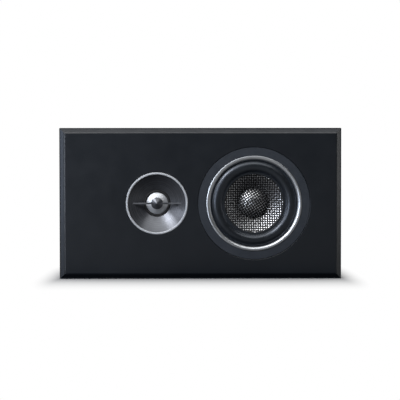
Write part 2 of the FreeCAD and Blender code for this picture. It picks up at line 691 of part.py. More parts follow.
def woofer_spider():
    """Corrugated suspension between the former and the basket's inner seat."""
    outer = BASE_RADIUS - LEG_THICKNESS - GLUE
    first, last = NECK_RADIUS + SPIDER_COLLAR, outer - SPIDER_FLANGE
    back = SPIDER_SEAT
    front = back - SPIDER_THICKNESS
    step = (last - first) / (2 * SPIDER_WAVES)

    crests = []
    for index in range(2 * SPIDER_WAVES):
        lift = SPIDER_WAVE_HEIGHT * (-1 if index % 2 == 0 else 1)
        crests.append((first + (index + 0.5) * step, lift))
    outward = [(r, front + lift) for r, lift in crests]
    inward = [(r, back + lift) for r, lift in reversed(crests)]
    return turned(section(
        (NECK_RADIUS, front), (first, front), *outward, (last, front), (outer, front),
        (outer, back), (last, back), *inward, (first, back), (NECK_RADIUS, back),
    ))


def woofer_former():
    return ring(FORMER_RADIUS - FORMER_THICKNESS, FORMER_RADIUS, NECK_DEPTH, COIL_MIDDLE + COIL_LENGTH / 2)


def woofer_voice_coil():
    half = COIL_LENGTH / 2
    return ring(FORMER_RADIUS + GLUE, COIL_RADIUS, COIL_MIDDLE - half, COIL_MIDDLE + half)


def woofer_top_plate():
    return ring(COIL_RADIUS + GAP, TOP_PLATE_DIAMETER / 2, PLATE_FRONT, MAGNET_FRONT)


def woofer_magnet():
    return ring(MAGNET_HOLE_RADIUS, MAGNET_DIAMETER / 2, MAGNET_FRONT, YOKE_FRONT)


def woofer_yoke():
    """Back plate and vented pole in one turned piece."""
    outer, back, chamfer = TOP_PLATE_DIAMETER / 2, YOKE_FRONT + YOKE_THICKNESS, YOKE_CHAMFER
    pole = FORMER_RADIUS - FORMER_THICKNESS - GAP
    vent = POLE_VENT_RADIUS
    return turned(section(
        (vent, PLATE_FRONT), (pole, PLATE_FRONT), (pole, YOKE_FRONT), (outer, YOKE_FRONT),
        (outer, back - chamfer), (outer - chamfer, back), (vent + chamfer, back), (vent, back - chamfer),
    ))


def woofer_tag_strip():
    """Paxolin strip on the basket with two solder tags that point back."""
    half = TAG_STRIP_WIDTH / 2
    front = SPIDER_SEAT + SEAT_THICKNESS
    face = -TAG_PAD_FACE
    strip = block((face - TAG_STRIP_THICKNESS, face), (front, front + TAG_STRIP_HEIGHT), (-half, half))
    tags = []
    for side in (-1, 1):
        middle = side * TAG_SPREAD
        tags.append(block(
            (face - TAG_STRIP_THICKNESS - TAG_THICKNESS, face - TAG_STRIP_THICKNESS),
            (front, front + TAG_LENGTH),
            (middle - TAG_WIDTH / 2, middle + TAG_WIDTH / 2),
        ))
    return Part.makeCompound([strip, *tags])


def woofer_tinsel_leads():
    """Braided leads from the tag strip through the basket's windows to the back of the cone."""
    outside = TAG_PAD_FACE + TAG_STRIP_THICKNESS + TAG_THICKNESS / 2
    start = SPIDER_SEAT + SEAT_THICKNESS - SOLDER_GAP
    landing = CONE_RADIUS - 2 * LIP_WIDTH
    arrival = arc_depth(CONE_LINE, math.hypot(landing, TAG_SPREAD)) + CONE_THICKNESS + TINSEL_RADIUS + TINSEL_GAP
    leads = []
    for side in (-1, 1):
        z = side * TAG_SPREAD
        leads.append(tube([
            vec(-outside, start, z),
            vec(-outside, start - TINSEL_RISE, z),
            vec(TINSEL_TURN - outside, start - TINSEL_RISE - TINSEL_TURN, z),
            vec(-landing, arrival, z),
        ], TINSEL_RADIUS))
    return Part.makeCompound(leads)


def woofer_screws():
    one = screw(SCREW_RADIUS, SCREW_LENGTH, SCREW_HEAD_RADIUS, SCREW_HEAD_HEIGHT)
    return Part.makeCompound(copies(one, woofer_screw_spots(), FLANGE_FRONT))


def tweeter_trim_ring():
    """Satin ring on the mouth of the horn, with both front edges softened."""
    soft = RING_WIDTH / 4
    return turned(section(
        (MOUTH_RADIUS, RING_DEPTH), (MOUTH_RADIUS, soft - RING_PROUD), (MOUTH_RADIUS + soft, -RING_PROUD),
        (RING_RADIUS - soft, -RING_PROUD), (RING_RADIUS, soft - RING_PROUD), (RING_RADIUS, RING_DEPTH),
    ))


def fin_blank(grow, reach):
    """Flat fin across the horn, from its straight front edge back to the level of the bullet's base."""
    half = FIN_THICKNESS / 2 + grow
    front = arc_depth(HORN_LINE, FIN_SPAN / 2) - grow
    return block((-reach, reach), (front, BULLET_BASE + grow), (-half, half))


def horn_space(grow):
    """Space inside the horn, cut back into its wall."""
    (mouth, front), (bow, bow_depth), (throat, back) = HORN_LINE
    return turned(section(
        (0, front), (mouth + grow, front), ((bow + grow, bow_depth), (throat + grow, back)), (0, back),
    ))


def tweeter_waveguide():
    """Cast horn with a cored back, a tube through the baffle and a flange behind it."""
    tube_outer = RING_RADIUS - GLUE
    tube_inner = tube_outer - TUBE_THICKNESS
    flange = HORN_FLANGE_DIAMETER / 2
    mouth, bow, throat = HORN_LINE
    plate_lip = CLAMP_BACK + TWEETER_PLATE_THICKNESS / 2
    body = turned(section(
        mouth, (bow, throat), (HORN_THROAT_RADIUS, CLAMP_FRONT), (CLAMP_RADIUS + GLUE, CLAMP_FRONT),
        (CLAMP_RADIUS + GLUE, CLAMP_BACK), (RIM_INNER, CLAMP_BACK), (RIM_INNER, plate_lip),
        (RIM_OUTER, plate_lip), (RIM_OUTER, HORN_FLANGE_BACK), (flange, HORN_FLANGE_BACK),
        (flange, BAFFLE_THICKNESS), (tube_outer, BAFFLE_THICKNESS), (tube_outer, RING_DEPTH),
    ))
    shallow = RING_DEPTH + HORN_WALL
    deep = arc_depth(HORN_LINE, RIM_OUTER) + HORN_WALL
    pocket = section(
        (RIM_OUTER, deep), (tube_inner, shallow), (tube_inner, HORN_FLANGE_BACK), (RIM_OUTER, HORN_FLANGE_BACK)
    )
    pitch = 360.0 / HORN_RIBS
    cuts = [turned(pocket, pitch - HORN_RIB_DEG, (rib + 0.5) * pitch) for rib in range(HORN_RIBS)]
    hole = rod(SCREW_RADIUS + SCREW_CLEARANCE, BAFFLE_THICKNESS, HORN_FLANGE_BACK)
    sink = flipped(screw(SCREW_RADIUS, HORN_FLANGE_THICKNESS, SCREW_HEAD_RADIUS + PILOT_CLEARANCE,
                         SCREW_HEAD_HEIGHT))
    cuts += copies(hole, tweeter_screw_spots())
    cuts += copies(sink, tweeter_screw_spots(), HORN_FLANGE_BACK)
    tapped = rod(PLATE_SCREW_RADIUS + PILOT_CLEARANCE, CLAMP_BACK - TWEETER_PLATE_THICKNESS, CLAMP_BACK)
    cuts += copies(tapped, plate_screw_spots())
    cuts.append(fin_blank(FIN_FIT, MOUTH_RADIUS).common(horn_space(FIN_SOCKET + FIN_FIT)))
    return body.cut(cuts)


def tweeter_phase_plug():
    """Pointed bullet in front of the dome, carried by a thin fin across the horn."""
    edge = BULLET_BASE - BULLET_EDGE
    bullet = turned(section(
        (0, BULLET_BASE - BULLET_HEIGHT), (BULLET_RADIUS, edge), (BULLET_RADIUS, BULLET_BASE), (0, BULLET_BASE)
    ))
    fin = fin_blank(0.0, MOUTH_RADIUS).common(horn_space(FIN_SOCKET))
    return bullet.fuse(fin).removeSplitter()


def tweeter_dome():
    return turned(dome_section(DOME_RADIUS, DOME_BASE, DOME_HEIGHT, DOME_THICKNESS))


def tweeter_surround():
    """Soft roll from the dome's edge to a clamp ring under the horn."""
    inner = DOME_RADIUS + GLUE
    roll = HORN_THROAT_RADIUS
    middle = (inner + roll) / 2
    wall = DOME_EDGE_THICKNESS
    front, back = CLAMP_FRONT - wall, CLAMP_FRONT
    crest = front - DOME_ROLL_HEIGHT
    return turned(section(
        (inner, front), ((middle, crest), (roll - GLUE, front)), (roll - GLUE, CLAMP_FRONT),
        (CLAMP_RADIUS, CLAMP_FRONT), (CLAMP_RADIUS, CLAMP_BACK), (roll - wall, CLAMP_BACK),
        (roll - wall, back), ((middle, crest + wall), (inner, back)),
    ))


def tweeter_voice_coil():
    """Short former under the dome with its winding, bonded as one piece."""
    inner = DOME_RADIUS - TWEETER_FORMER_THICKNESS - GLUE
    middle = CLAMP_BACK + TWEETER_PLATE_THICKNESS / 2
    half = TWEETER_COIL_LENGTH / 2
    outer = DOME_RADIUS - GLUE
    return turned(section(
        (inner, DOME_BASE), (outer, DOME_BASE), (outer, middle - half), (TWEETER_COIL_RADIUS, middle - half),
        (TWEETER_COIL_RADIUS, middle + half), (inner, middle + half),
    ))


def plate_screw_spots():
    return circle_spots(PLATE_SCREW_COUNT, PLATE_SCREW_CIRCLE, PLATE_SCREW_TURN)


def tweeter_top_plate():
    plate = ring(TWEETER_COIL_RADIUS + TWEETER_GAP, TWEETER_PLATE_RADIUS, CLAMP_BACK, TWEETER_PLATE_BACK)
    hole = rod(PLATE_SCREW_RADIUS + PILOT_CLEARANCE, CLAMP_BACK, TWEETER_PLATE_BACK)
    sink = flipped(screw(PLATE_SCREW_RADIUS, TWEETER_PLATE_THICKNESS, PLATE_SCREW_HEAD_RADIUS + PILOT_CLEARANCE,
                         PLATE_SCREW_RADIUS))
    cuts = copies(hole, plate_screw_spots()) + copies(sink, plate_screw_spots(), TWEETER_PLATE_BACK)
    return plate.cut(cuts)


def tweeter_plate_screws():
    one = flipped(screw(PLATE_SCREW_RADIUS, 2 * TWEETER_PLATE_THICKNESS - SCREW_CLEARANCE,
                        PLATE_SCREW_HEAD_RADIUS, PLATE_SCREW_RADIUS))
    return Part.makeCompound(copies(one, plate_screw_spots(), TWEETER_PLATE_BACK))


def tweeter_magnet():
    inner = TWEETER_COIL_RADIUS + TWEETER_MAGNET_ROOM
    return ring(inner, TWEETER_MAGNET_RADIUS, TWEETER_PLATE_BACK, TWEETER_MAGNET_BACK)


def tweeter_yoke():
    pole = DOME_RADIUS - TWEETER_FORMER_THICKNESS - GLUE - TWEETER_GAP
    back, chamfer = TWEETER_MAGNET_BACK + TWEETER_YOKE_THICKNESS, YOKE_CHAMFER
    outer = TWEETER_MAGNET_RADIUS
    return turned(section(
        (0, CLAMP_BACK), (pole, CLAMP_BACK), (pole, TWEETER_MAGNET_BACK), (outer, TWEETER_MAGNET_BACK),
        (outer, back - chamfer), (outer - chamfer, back), (0, back),
    ))


def tweeter_tag_strip():
    """Paxolin strip on the back of the horn's flange with two solder tags that point back."""
    half = TAG_STRIP_WIDTH / 2
    middle = (RIM_OUTER + HORN_FLANGE_DIAMETER / 2) / 2
    low, high = -middle - TAG_STRIP_HEIGHT / 2, -middle + TAG_STRIP_HEIGHT / 2
    front = HORN_FLANGE_BACK
    back = front + TAG_STRIP_THICKNESS
    strip = block((low, high), (front, back), (-half, half))
    tags = []
    for side in (-1, 1):
        z = side * TAG_SPREAD
        span = (-middle - TAG_THICKNESS / 2, -middle + TAG_THICKNESS / 2)
        tags.append(block(span, (back, back + TAG_LENGTH), (z - TAG_WIDTH / 2, z + TAG_WIDTH / 2)))
    return Part.makeCompound([strip, *tags])


def tweeter_screws():
    one = flipped(screw(SCREW_RADIUS, SCREW_LENGTH, SCREW_HEAD_RADIUS, SCREW_HEAD_HEIGHT))
    return Part.makeCompound(copies(one, tweeter_screw_spots(), HORN_FLANGE_BACK))


def post_spots():
    return [(side * POST_SPACING / 2, 0.0) for side in (-1, 1)]


def terminal_cup():
    """Moulded cup through the rear panel, about its own middle. Depth 0 is the panel's outer face."""
    mouth, floor = CUP_FLANGE_THICKNESS, -CUP_FLOOR
    draft = 2 * CUP_DRAFT
    wall = 2 * CUP_WALL
    flange = rounded_plate(
        CUP_WIDTH + 2 * CUP_FLANGE_MARGIN, CUP_HEIGHT + 2 * CUP_FLANGE_MARGIN, CUP_CORNER + CUP_WALL, 0, mouth
    )
    outside = Part.makeLoft([
        rounded_outline(CUP_WIDTH + wall, CUP_HEIGHT + wall, CUP_CORNER + CUP_WALL, 0),
        rounded_outline(CUP_WIDTH + wall - draft, CUP_HEIGHT + wall - draft, CUP_CORNER + CUP_WALL, -CUP_BACK),
    ], True, True)
    inside = Part.makeLoft([
        rounded_outline(CUP_WIDTH, CUP_HEIGHT, CUP_CORNER, mouth),
        rounded_outline(CUP_WIDTH - draft, CUP_HEIGHT - draft, CUP_CORNER, floor),
    ], True, True)
    shank = rod(POST_RADIUS + PILOT_CLEARANCE, -CUP_BACK, floor)
    sink = flipped(screw(SCREW_RADIUS + PILOT_CLEARANCE, REAR_THICKNESS, SCREW_HEAD_RADIUS + PILOT_CLEARANCE,
                         SCREW_HEAD_HEIGHT))
    cuts = [inside, *copies(shank, post_spots()), *copies(sink, cup_screw_spots(), mouth)]
    return flange.fuse(outside).cut(cuts)


def terminal_screws():
    return Part.makeCompound(copies(cup_screw(), cup_screw_spots(), CUP_FLANGE_THICKNESS))


def binding_post():
    """Turned post with a collar, a banana socket in its end and a cross hole for bare wire."""
    floor = -CUP_FLOOR
    tip = floor + POST_LENGTH
    collar = floor + POST_COLLAR_THICKNESS
    shape = turned(section(
        (0, -CUP_BACK - POST_TAIL), (POST_RADIUS, -CUP_BACK - POST_TAIL), (POST_RADIUS, floor),
        (POST_COLLAR_RADIUS, floor), (POST_COLLAR_RADIUS, collar), (POST_RADIUS, collar),
        (POST_RADIUS, tip), (POST_SOCKET_RADIUS, tip), (POST_SOCKET_RADIUS, tip - POST_SOCKET_DEPTH),
        (0, tip - POST_SOCKET_DEPTH),
    ))
    middle = collar + WASHER_THICKNESS + POST_WIRE_HOLE_RADIUS
    wire_hole = Part.makeCylinder(
        POST_WIRE_HOLE_RADIUS, 2 * POST_RADIUS, vec(0, middle, -POST_RADIUS), vec(0, 0, 1)
    )
    return shape.cut(wire_hole)


def clamp_washer():
    front = -CUP_FLOOR + POST_COLLAR_THICKNESS
    return ring(POST_RADIUS + 2 * POST_FIT, WASHER_RADIUS, front, front + WASHER_THICKNESS)


def thumb_nut():
    """Fluted cap that screws along the post."""
    front = -CUP_FLOOR + POST_COLLAR_THICKNESS + WASHER_THICKNESS
    back = front + NUT_LENGTH
    bore, soft = POST_RADIUS + POST_FIT, EDGE_BREAK
    body = turned(section(
        (bore, front), (NUT_RADIUS - soft, front), (NUT_RADIUS, front + soft), (NUT_RADIUS, back - 2 * soft),
        (NUT_RADIUS - 2 * soft, back), (bore, back),
    ))
    flute = rod(NUT_FLUTE_RADIUS, front + WASHER_THICKNESS, back)
    return body.cut(copies(flute, circle_spots(NUT_FLUTES, NUT_RADIUS + NUT_FLUTE_RADIUS / 2)))


def lock_nuts():
    """Hexagon nuts that hold the posts, behind the solder tags."""
    front = -CUP_BACK - SOLDER_TAG_THICKNESS - LOCK_NUT_THICKNESS
    corner = LOCK_NUT_FLATS / math.sqrt(3)
    points = [vec(x, front, z) for x, z in circle_spots(6, corner)]
    hexagon = Part.Face(Part.makePolygon([*points, points[0]])).extrude(vec(0, LOCK_NUT_THICKNESS))
    nut = hexagon.cut(rod(POST_RADIUS + PILOT_CLEARANCE, front, front + LOCK_NUT_THICKNESS))
    return Part.makeCompound(copies(nut, post_spots()))


def solder_tags():
    """Ring tags under the lock nuts, with tails that reach up."""
    back = -CUP_BACK
    front = back - SOLDER_TAG_THICKNESS
    half = TAG_WIDTH / 2
    tail = block((-half, half), (front, back), (0, SOLDER_TAG_LENGTH))
    tag = rod(SOLDER_TAG_RADIUS, front, back).fuse(tail)
    tag = tag.cut(rod(POST_RADIUS + PILOT_CLEARANCE, front, back)).removeSplitter()
    return Part.makeCompound(copies(tag, post_spots()))


def crossover_board():
    board = block((-BOARD_WIDTH / 2, BOARD_WIDTH / 2), (BOARD_FRONT, BOARD_BACK),
                  (-BOARD_HEIGHT / 2, BOARD_HEIGHT / 2))
    hole = rod(SCREW_RADIUS + SCREW_CLEARANCE, BOARD_FRONT, BOARD_BACK)
    return board.cut(copies(hole, board_screw_spots()))


def board_spacers():
    spacer = ring(SCREW_RADIUS + SCREW_CLEARANCE, SPACER_RADIUS, BOARD_BACK, BOARD_BACK + SPACER_HEIGHT)
    return Part.makeCompound(copies(spacer, board_screw_spots()))


def board_screws():
    """Round-headed screws through the board and its spacers into the rear panel."""
    head = BOARD_FRONT - SCREW_HEAD_HEIGHT
    end = BOARD_BACK + SPACER_HEIGHT + REAR_THICKNESS / 2
    one = turned(section(
        (0, head), (SCREW_RADIUS, head), (SCREW_HEAD_RADIUS, BOARD_FRONT), (SCREW_RADIUS, BOARD_FRONT),
        (SCREW_RADIUS, end), (0, end),
    ))
    return Part.makeCompound(copies(one, board_screw_spots()))


def woofer_choke():
    """Self-supporting coil that lies flat on the board."""
    back = BOARD_FRONT - GLUE
    coil = ring(BIG_CHOKE_BORE, BIG_CHOKE_RADIUS, back - BIG_CHOKE_LENGTH, back)
    return coil.translated(vec(-BOARD_WIDTH / 2 + BIG_CHOKE_RADIUS + PART_MARGIN, 0, BIG_CHOKE_Z))


def tweeter_choke():
    """The same kind of coil stood on its edge, square to its neighbour."""
    half = SMALL_CHOKE_LENGTH / 2
    coil = ring(SMALL_CHOKE_BORE, SMALL_CHOKE_RADIUS, -half, half).rotated(ORIGIN, vec(0, 0, 1), 90)
    return coil.translated(vec(SMALL_CHOKE_X, BOARD_FRONT - GLUE - SMALL_CHOKE_RADIUS, BIG_CHOKE_Z))


def with_leads(body, depth, length, z):
    """Adds a lead at each end of a component that lies along X, bent back to the board."""
    leads = []
    for side in (-1, 1):
        end = vec(side * length / 2, depth, z)
        out = end + vec(side * LEAD_REACH, 0)
        leads.append(tube([end, out, vec(out.x, BOARD_FRONT, z)], LEAD_RADIUS))
    return body.fuse(leads)


def axial_capacitor(radius, length, z):
    depth = BOARD_FRONT - GLUE - radius
    body = Part.makeCylinder(radius, length, vec(-length / 2, depth, z), vec(1, 0))
    return with_leads(body, depth, length, z)


def film_capacitor():
    return axial_capacitor(FILM_RADIUS, FILM_LENGTH, FILM_Z)


def can_capacitor():
    z = FILM_Z - FILM_RADIUS - CAN_RADIUS - PART_MARGIN
    return axial_capacitor(CAN_RADIUS, CAN_LENGTH, z)


def cement_resistor():
    back = BOARD_FRONT - GLUE
    z = FILM_Z - FILM_RADIUS - 2 * CAN_RADIUS - RESISTOR_SIDE / 2 - 2 * PART_MARGIN
    half, side = RESISTOR_LENGTH / 2, RESISTOR_SIDE / 2
    body = block((-half, half), (back - RESISTOR_SIDE, back), (z - side, z + side))
    return with_leads(body, back - side, RESISTOR_LENGTH, z)


def wire_pad(index):
    """Place on the board, in the frame of the whole speaker, where one wire of the row ends."""
    x = BOARD_X + BOARD_WIDTH / 2 - PAD_INSET
    return vec(x, BOARD_FRONT - DEPTH - SOLDER_GAP, CENTRE_Z + index * PAD_PITCH)


def input_wires():
    """From the tags behind the terminal cup to the board."""
    depth = -CUP_BACK - SOLDER_TAG_THICKNESS - SOLDER_GAP - WIRE_RADIUS
    wires = []
    for index, (x, z) in enumerate(post_spots()):
        end = wire_pad(index - 2)
        start = vec(CUP_X + x, depth, CUP_Z + SOLDER_TAG_LENGTH - SOLDER_LENGTH)
        wires.append(tube([start, vec(start.x, depth, end.z), vec(end.x, depth, end.z), end], WIRE_RADIUS))
    return Part.makeCompound(wires)


def woofer_wires():
    """From the woofer's tags, behind the tweeter's motor, to the board."""
    face = TAG_PAD_FACE + TAG_STRIP_THICKNESS + TAG_THICKNESS + SOLDER_GAP + WIRE_RADIUS
    tag_end = SPIDER_SEAT + SEAT_THICKNESS + TAG_LENGTH - DEPTH
    run = (tag_end + BOARD_FRONT - DEPTH) / 2
    wires = []
    for index, side in enumerate((-1, 1)):
        end = wire_pad(index + 1)
        start = vec(WOOFER_X - face, tag_end - SOLDER_LENGTH, CENTRE_Z + side * TAG_SPREAD)
        wires.append(tube([start, vec(start.x, run, start.z), vec(end.x, run, end.z), end], WIRE_RADIUS))
    return Part.makeCompound(wires)


def tweeter_wires():
    """From the tweeter's tags straight back to the board."""
    tag = TWEETER_X - (RIM_OUTER + HORN_FLANGE_DIAMETER / 2) / 2
    x = tag + TAG_THICKNESS / 2 + SOLDER_GAP + WIRE_RADIUS
    tag_end = HORN_FLANGE_BACK + TAG_STRIP_THICKNESS + TAG_LENGTH - DEPTH
    board = BOARD_FRONT - DEPTH - SOLDER_GAP
    end = BOARD_X + BOARD_WIDTH / 2 - TWEETER_PAD_INSET
    wires = []
    for side in (-1, 1):
        z = CENTRE_Z + side * TAG_SPREAD
        bends = [tag_end + (board - tag_end) / 4, board - (board - tag_end) / 4]
        wires.append(tube([
            vec(x, tag_end - SOLDER_LENGTH, z), vec(x, bends[0], z), vec(end, bends[1], z),
            vec(end, board, z),
        ], WIRE_RADIUS))
    return Part.makeCompound(wires)


def damping_pad():
    """Block of wadding against the right-hand end of the box."""
    right = WIDTH / 2 - WALL_THICKNESS - PAD_FIT
    half = HEIGHT / 2 - WALL_THICKNESS - PAD_MARGIN
    back = DEPTH - REAR_THICKNESS - PAD_FIT
    pad = block((right - PAD_THICKNESS, right), (back - PAD_LENGTH, back), (-half, half))
    inner = [e for e in pad.Edges if e.BoundBox.XMax < right - PAD_FIT and e.BoundBox.ZLength > half]
    return pad.makeFillet(PAD_ROUND, inner)


WOOFER_NODES = (
    woofer_bezel, woofer_trim_ring, woofer_gasket, woofer_basket, woofer_surround, woofer_cone, woofer_dust_cap,
    woofer_spider, woofer_former, woofer_voice_coil, woofer_top_plate, woofer_magnet, woofer_yoke,
    woofer_tag_strip, woofer_tinsel_leads, woofer_screws,
)
TWEETER_NODES = (
    tweeter_trim_ring, tweeter_waveguide, tweeter_phase_plug, tweeter_dome, tweeter_surround, tweeter_voice_coil,
    tweeter_top_plate, tweeter_plate_screws, tweeter_magnet, tweeter_yoke, tweeter_tag_strip, tweeter_screws,
)
BOX_NODES = (front_baffle, cabinet_wrap, damping_pad)
BOARD_NODES = (
    crossover_board, board_spacers, board_screws, woofer_choke, tweeter_choke, film_capacitor, can_capacitor,
    cement_resistor,
)
WIRE_NODES = (input_wires, woofer_wires, tweeter_wires)
CUP_NODES = (terminal_cup, terminal_screws, lock_nuts, solder_tags)
POST_NODES = (binding_post, clamp_washer, thumb_nut)


def all_parts():
    parts = {"rear_panel": rear_panel()}
    for makers, x in ((WOOFER_NODES, WOOFER_X), (TWEETER_NODES, TWEETER_X), (BOX_NODES, 0), (BOARD_NODES, BOARD_X)):
        for make in makers:
            parts[make.__name__] = in_row(make(), x)
    for make in WIRE_NODES:
        parts[make.__name__] = make()
    for make in CUP_NODES:
        parts[make.__name__] = make().translated(vec(CUP_X, 0, CUP_Z))
    for colour, (x, z) in zip(("black", "red"), post_spots()):
        for make in POST_NODES:
            parts[f"{make.__name__}_{colour}"] = make().translated(vec(CUP_X + x, 0, CUP_Z + z))
    for side, place in zip(("left", "right"), hanger_places()):
        parts[f"hanger_plate_{side}"] = hanger_plate().translated(place)
    hanger_screw = flipped(screw(SCREW_RADIUS, SCREW_LENGTH - HANGER_THICKNESS, SCREW_HEAD_RADIUS, SCREW_HEAD_HEIGHT))
    parts["hanger_screws"] = Part.makeCompound(
        [s.translated(place) for place in hanger_places() for s in copies(hanger_screw, hanger_screw_spots())]
    )
    names = ("bottom_left", "top_left", "bottom_right", "top_right")
    for name, (x, z) in zip(names, corner_spots(WIDTH - 2 * BUMPER_INSET, HEIGHT - 2 * BUMPER_INSET)):
        parts[f"bumper_{name}"] = bumper().translated(vec(x, 0, CENTRE_Z + z))
    return parts


def main():
    os.makedirs("parts", exist_ok=True)
    for name, shape in all_parts().items():
        if not shape.isValid() or shape.Volume <= 0:
            raise ValueError(f"{name} is not a sound solid")
        shape.exportStep(f"parts/{name}.step")
        print(f"{name}: {len(shape.Solids)} solid(s), {shape.Volume / 1000:.2f} cm3")


main()
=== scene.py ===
# %% [markdown]
# # An on-wall speaker
#
# A black on-wall loudspeaker lies on its long side: a horn with a small metal dome on the left,
# and a woofer with a woven cone on the right. Its rigid parts come from a CAD model that is packed
# as a fixed frame. Every part is in metres, in its true place, and already rides on the body that
# it moves with.
#
# We could model all of it again, but then the sizes would drift away from the part. So the rigid
# solids stay and only get their finish. What a solid can't show is built here: the cloth of the
# cone, the soft rings that flex, the leads and the wadding.

# %% Load the frame
import json
import math

import bpy
from mathutils import Matrix, Vector, noise


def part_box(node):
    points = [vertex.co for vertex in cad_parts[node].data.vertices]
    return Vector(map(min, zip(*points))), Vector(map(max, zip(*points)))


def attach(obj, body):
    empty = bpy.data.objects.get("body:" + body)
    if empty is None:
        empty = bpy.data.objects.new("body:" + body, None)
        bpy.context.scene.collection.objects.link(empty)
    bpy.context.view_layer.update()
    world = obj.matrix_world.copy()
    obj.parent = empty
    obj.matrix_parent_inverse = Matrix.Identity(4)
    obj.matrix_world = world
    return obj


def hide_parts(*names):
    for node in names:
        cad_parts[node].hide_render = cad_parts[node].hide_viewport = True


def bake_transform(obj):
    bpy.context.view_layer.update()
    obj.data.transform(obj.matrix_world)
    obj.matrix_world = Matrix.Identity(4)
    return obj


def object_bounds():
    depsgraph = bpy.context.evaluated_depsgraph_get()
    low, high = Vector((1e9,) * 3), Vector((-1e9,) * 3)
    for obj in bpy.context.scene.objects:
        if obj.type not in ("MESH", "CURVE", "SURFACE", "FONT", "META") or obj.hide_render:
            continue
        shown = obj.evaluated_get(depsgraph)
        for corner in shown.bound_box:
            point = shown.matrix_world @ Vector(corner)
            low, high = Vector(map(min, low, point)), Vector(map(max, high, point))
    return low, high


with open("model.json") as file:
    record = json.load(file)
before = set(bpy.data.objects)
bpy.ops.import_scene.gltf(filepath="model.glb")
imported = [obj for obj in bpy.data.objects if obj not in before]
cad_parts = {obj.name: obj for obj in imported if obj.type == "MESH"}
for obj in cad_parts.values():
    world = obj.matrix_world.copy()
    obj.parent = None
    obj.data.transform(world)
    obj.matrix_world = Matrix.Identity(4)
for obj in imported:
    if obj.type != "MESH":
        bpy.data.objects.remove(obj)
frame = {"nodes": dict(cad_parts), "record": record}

cad_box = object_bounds()

# %% [markdown]
# ## Where things are
#
# Both drivers are round, so each of their points is easiest to say as a radius from the driver's
# axis and a depth behind the front face, as on a lathe drawing. The axes are read from the frame,
# so the pieces that we add can't sit beside the ones that they belong to.

# %% Axes of the two drivers
MM = 0.001
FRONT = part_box("front_baffle")[0].y


def driver_axis(ring):
    """The point where a driver's axis meets the front face."""
    low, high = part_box(ring)
    return Vector(((low.x + high.x) / 2, FRONT, (low.z + high.z) / 2))


def lathe_point(axis, radius, depth, angle):
    """The place of a point at a radius and a depth, in mm, and an angle round a driver's axis."""
    return axis + Vector((radius * math.cos(angle), depth, radius * math.sin(angle))) * MM


WOOFER = driver_axis("woofer_bezel")
TWEETER = driver_axis("tweeter_trim_ring")
print("woofer axis", WOOFER, "tweeter axis", TWEETER)

# %% [markdown]
# ## Camera
#
# The photograph was taken from a little left of the middle and a little above it, with a long
# lens, so the box hardly tapers. The place and the angles were solved from the four front corners
# of the box in the photograph. A matrix takes them as they are, with no tracking constraint that
# could pull the view aside.

# %% Camera of the photograph
CAMERA_PLACE = Vector((-0.0179, -1.6, -0.0047))
CAMERA_YAW, CAMERA_PITCH, CAMERA_ROLL = 0.0115, -0.0274, -0.00101       # radians
LENS_PER_SENSOR = 3.1154        # focal length, in widths of the sensor

forward = Vector((
    math.sin(CAMERA_YAW) * math.cos(CAMERA_PITCH),
    math.cos(CAMERA_YAW) * math.cos(CAMERA_PITCH),
    math.sin(CAMERA_PITCH),
))
level = Vector((math.cos(CAMERA_YAW), -math.sin(CAMERA_YAW), 0))
upright = level.cross(forward)
right = level * math.cos(CAMERA_ROLL) + upright * math.sin(CAMERA_ROLL)
up = right.cross(forward)
turned = Matrix((right, up, -forward)).transposed().to_4x4()

camera = bpy.data.objects.new("photo_camera", bpy.data.cameras.new("photo_camera"))
camera.data.lens = LENS_PER_SENSOR * camera.data.sensor_width
camera.matrix_world = Matrix.Translation(CAMERA_PLACE) @ turned
bpy.context.scene.collection.objects.link(camera)
bpy.context.scene.camera = camera
bpy.context.scene.view_settings.view_transform = "Standard"
print("lens", round(camera.data.lens, 1), "mm")

# %% [markdown]
# ## Small tools for materials
#
# Colours are easiest to choose as the sRGB hex values that a paint chart gives, but a shader wants
# linear light, so one function converts them. Shader trees are long to write out by hand, so
# another function adds one node: a value that is a socket becomes a link, and any other value is
# set on the node's own input. A third puts a colour between two hex values, because nearly every
# finish below wanders between two close tones.

# %% Colour and node helpers
MIX_FACTOR, MIX_FIRST, MIX_SECOND, MIX_COLOUR = 0, 6, 7, 2      # sockets of a Mix of two colours


def hex_linear(code):
    """Linear colour, with alpha, of an sRGB hex value."""
    shares = [int(code[i:i + 2], 16) / 255 for i in (0, 2, 4)]
    linear = [s / 12.92 if s <= 0.04045 else ((s + 0.055) / 1.055) ** 2.4 for s in shares]
    return (*linear, 1.0)


def add_node(tree, kind, inputs=(), **settings):
    """Adds a shader node with its settings, its input values and its links."""
    node = tree.nodes.new("ShaderNode" + kind)
    for name, value in settings.items():
        setattr(node, name, value)
    for name, value in dict(inputs).items():
        if isinstance(value, bpy.types.NodeSocket):
            tree.links.new(value, node.inputs[name])
        else:
            node.inputs[name].default_value = value
    return node


def two_tones(tree, share, dark, light):
    """A colour between two hex values."""
    tones = {MIX_FACTOR: share, MIX_FIRST: hex_linear(dark), MIX_SECOND: hex_linear(light)}
    return add_node(tree, "Mix", tones, data_type="RGBA").outputs[MIX_COLOUR]


print("mid grey in linear light", [round(v, 3) for v in hex_linear("808080")])

# %% [markdown]
# ## Floor and backdrop
#
# The floor runs back into a white background with no line between them. A curved sheet would do
# it, but it would get in the way of the views from behind. Instead the floor is flat: near the
# speaker it is grey paper that takes the lamps' shadow, and away from it the paper fades into plain
# white. The grey and the fade paint a halo of shade round the foot, on top of that real shadow.
# Metal mirrors the white floor too, but dimmer and not so near, and every other ray sees the paper
# near black: both paint shade into the reflections, because the lacquer and the upper halves of the
# drivers are black in the photograph.

# %% Floor sheet
FLOOR_HALF = 6.0                # metres

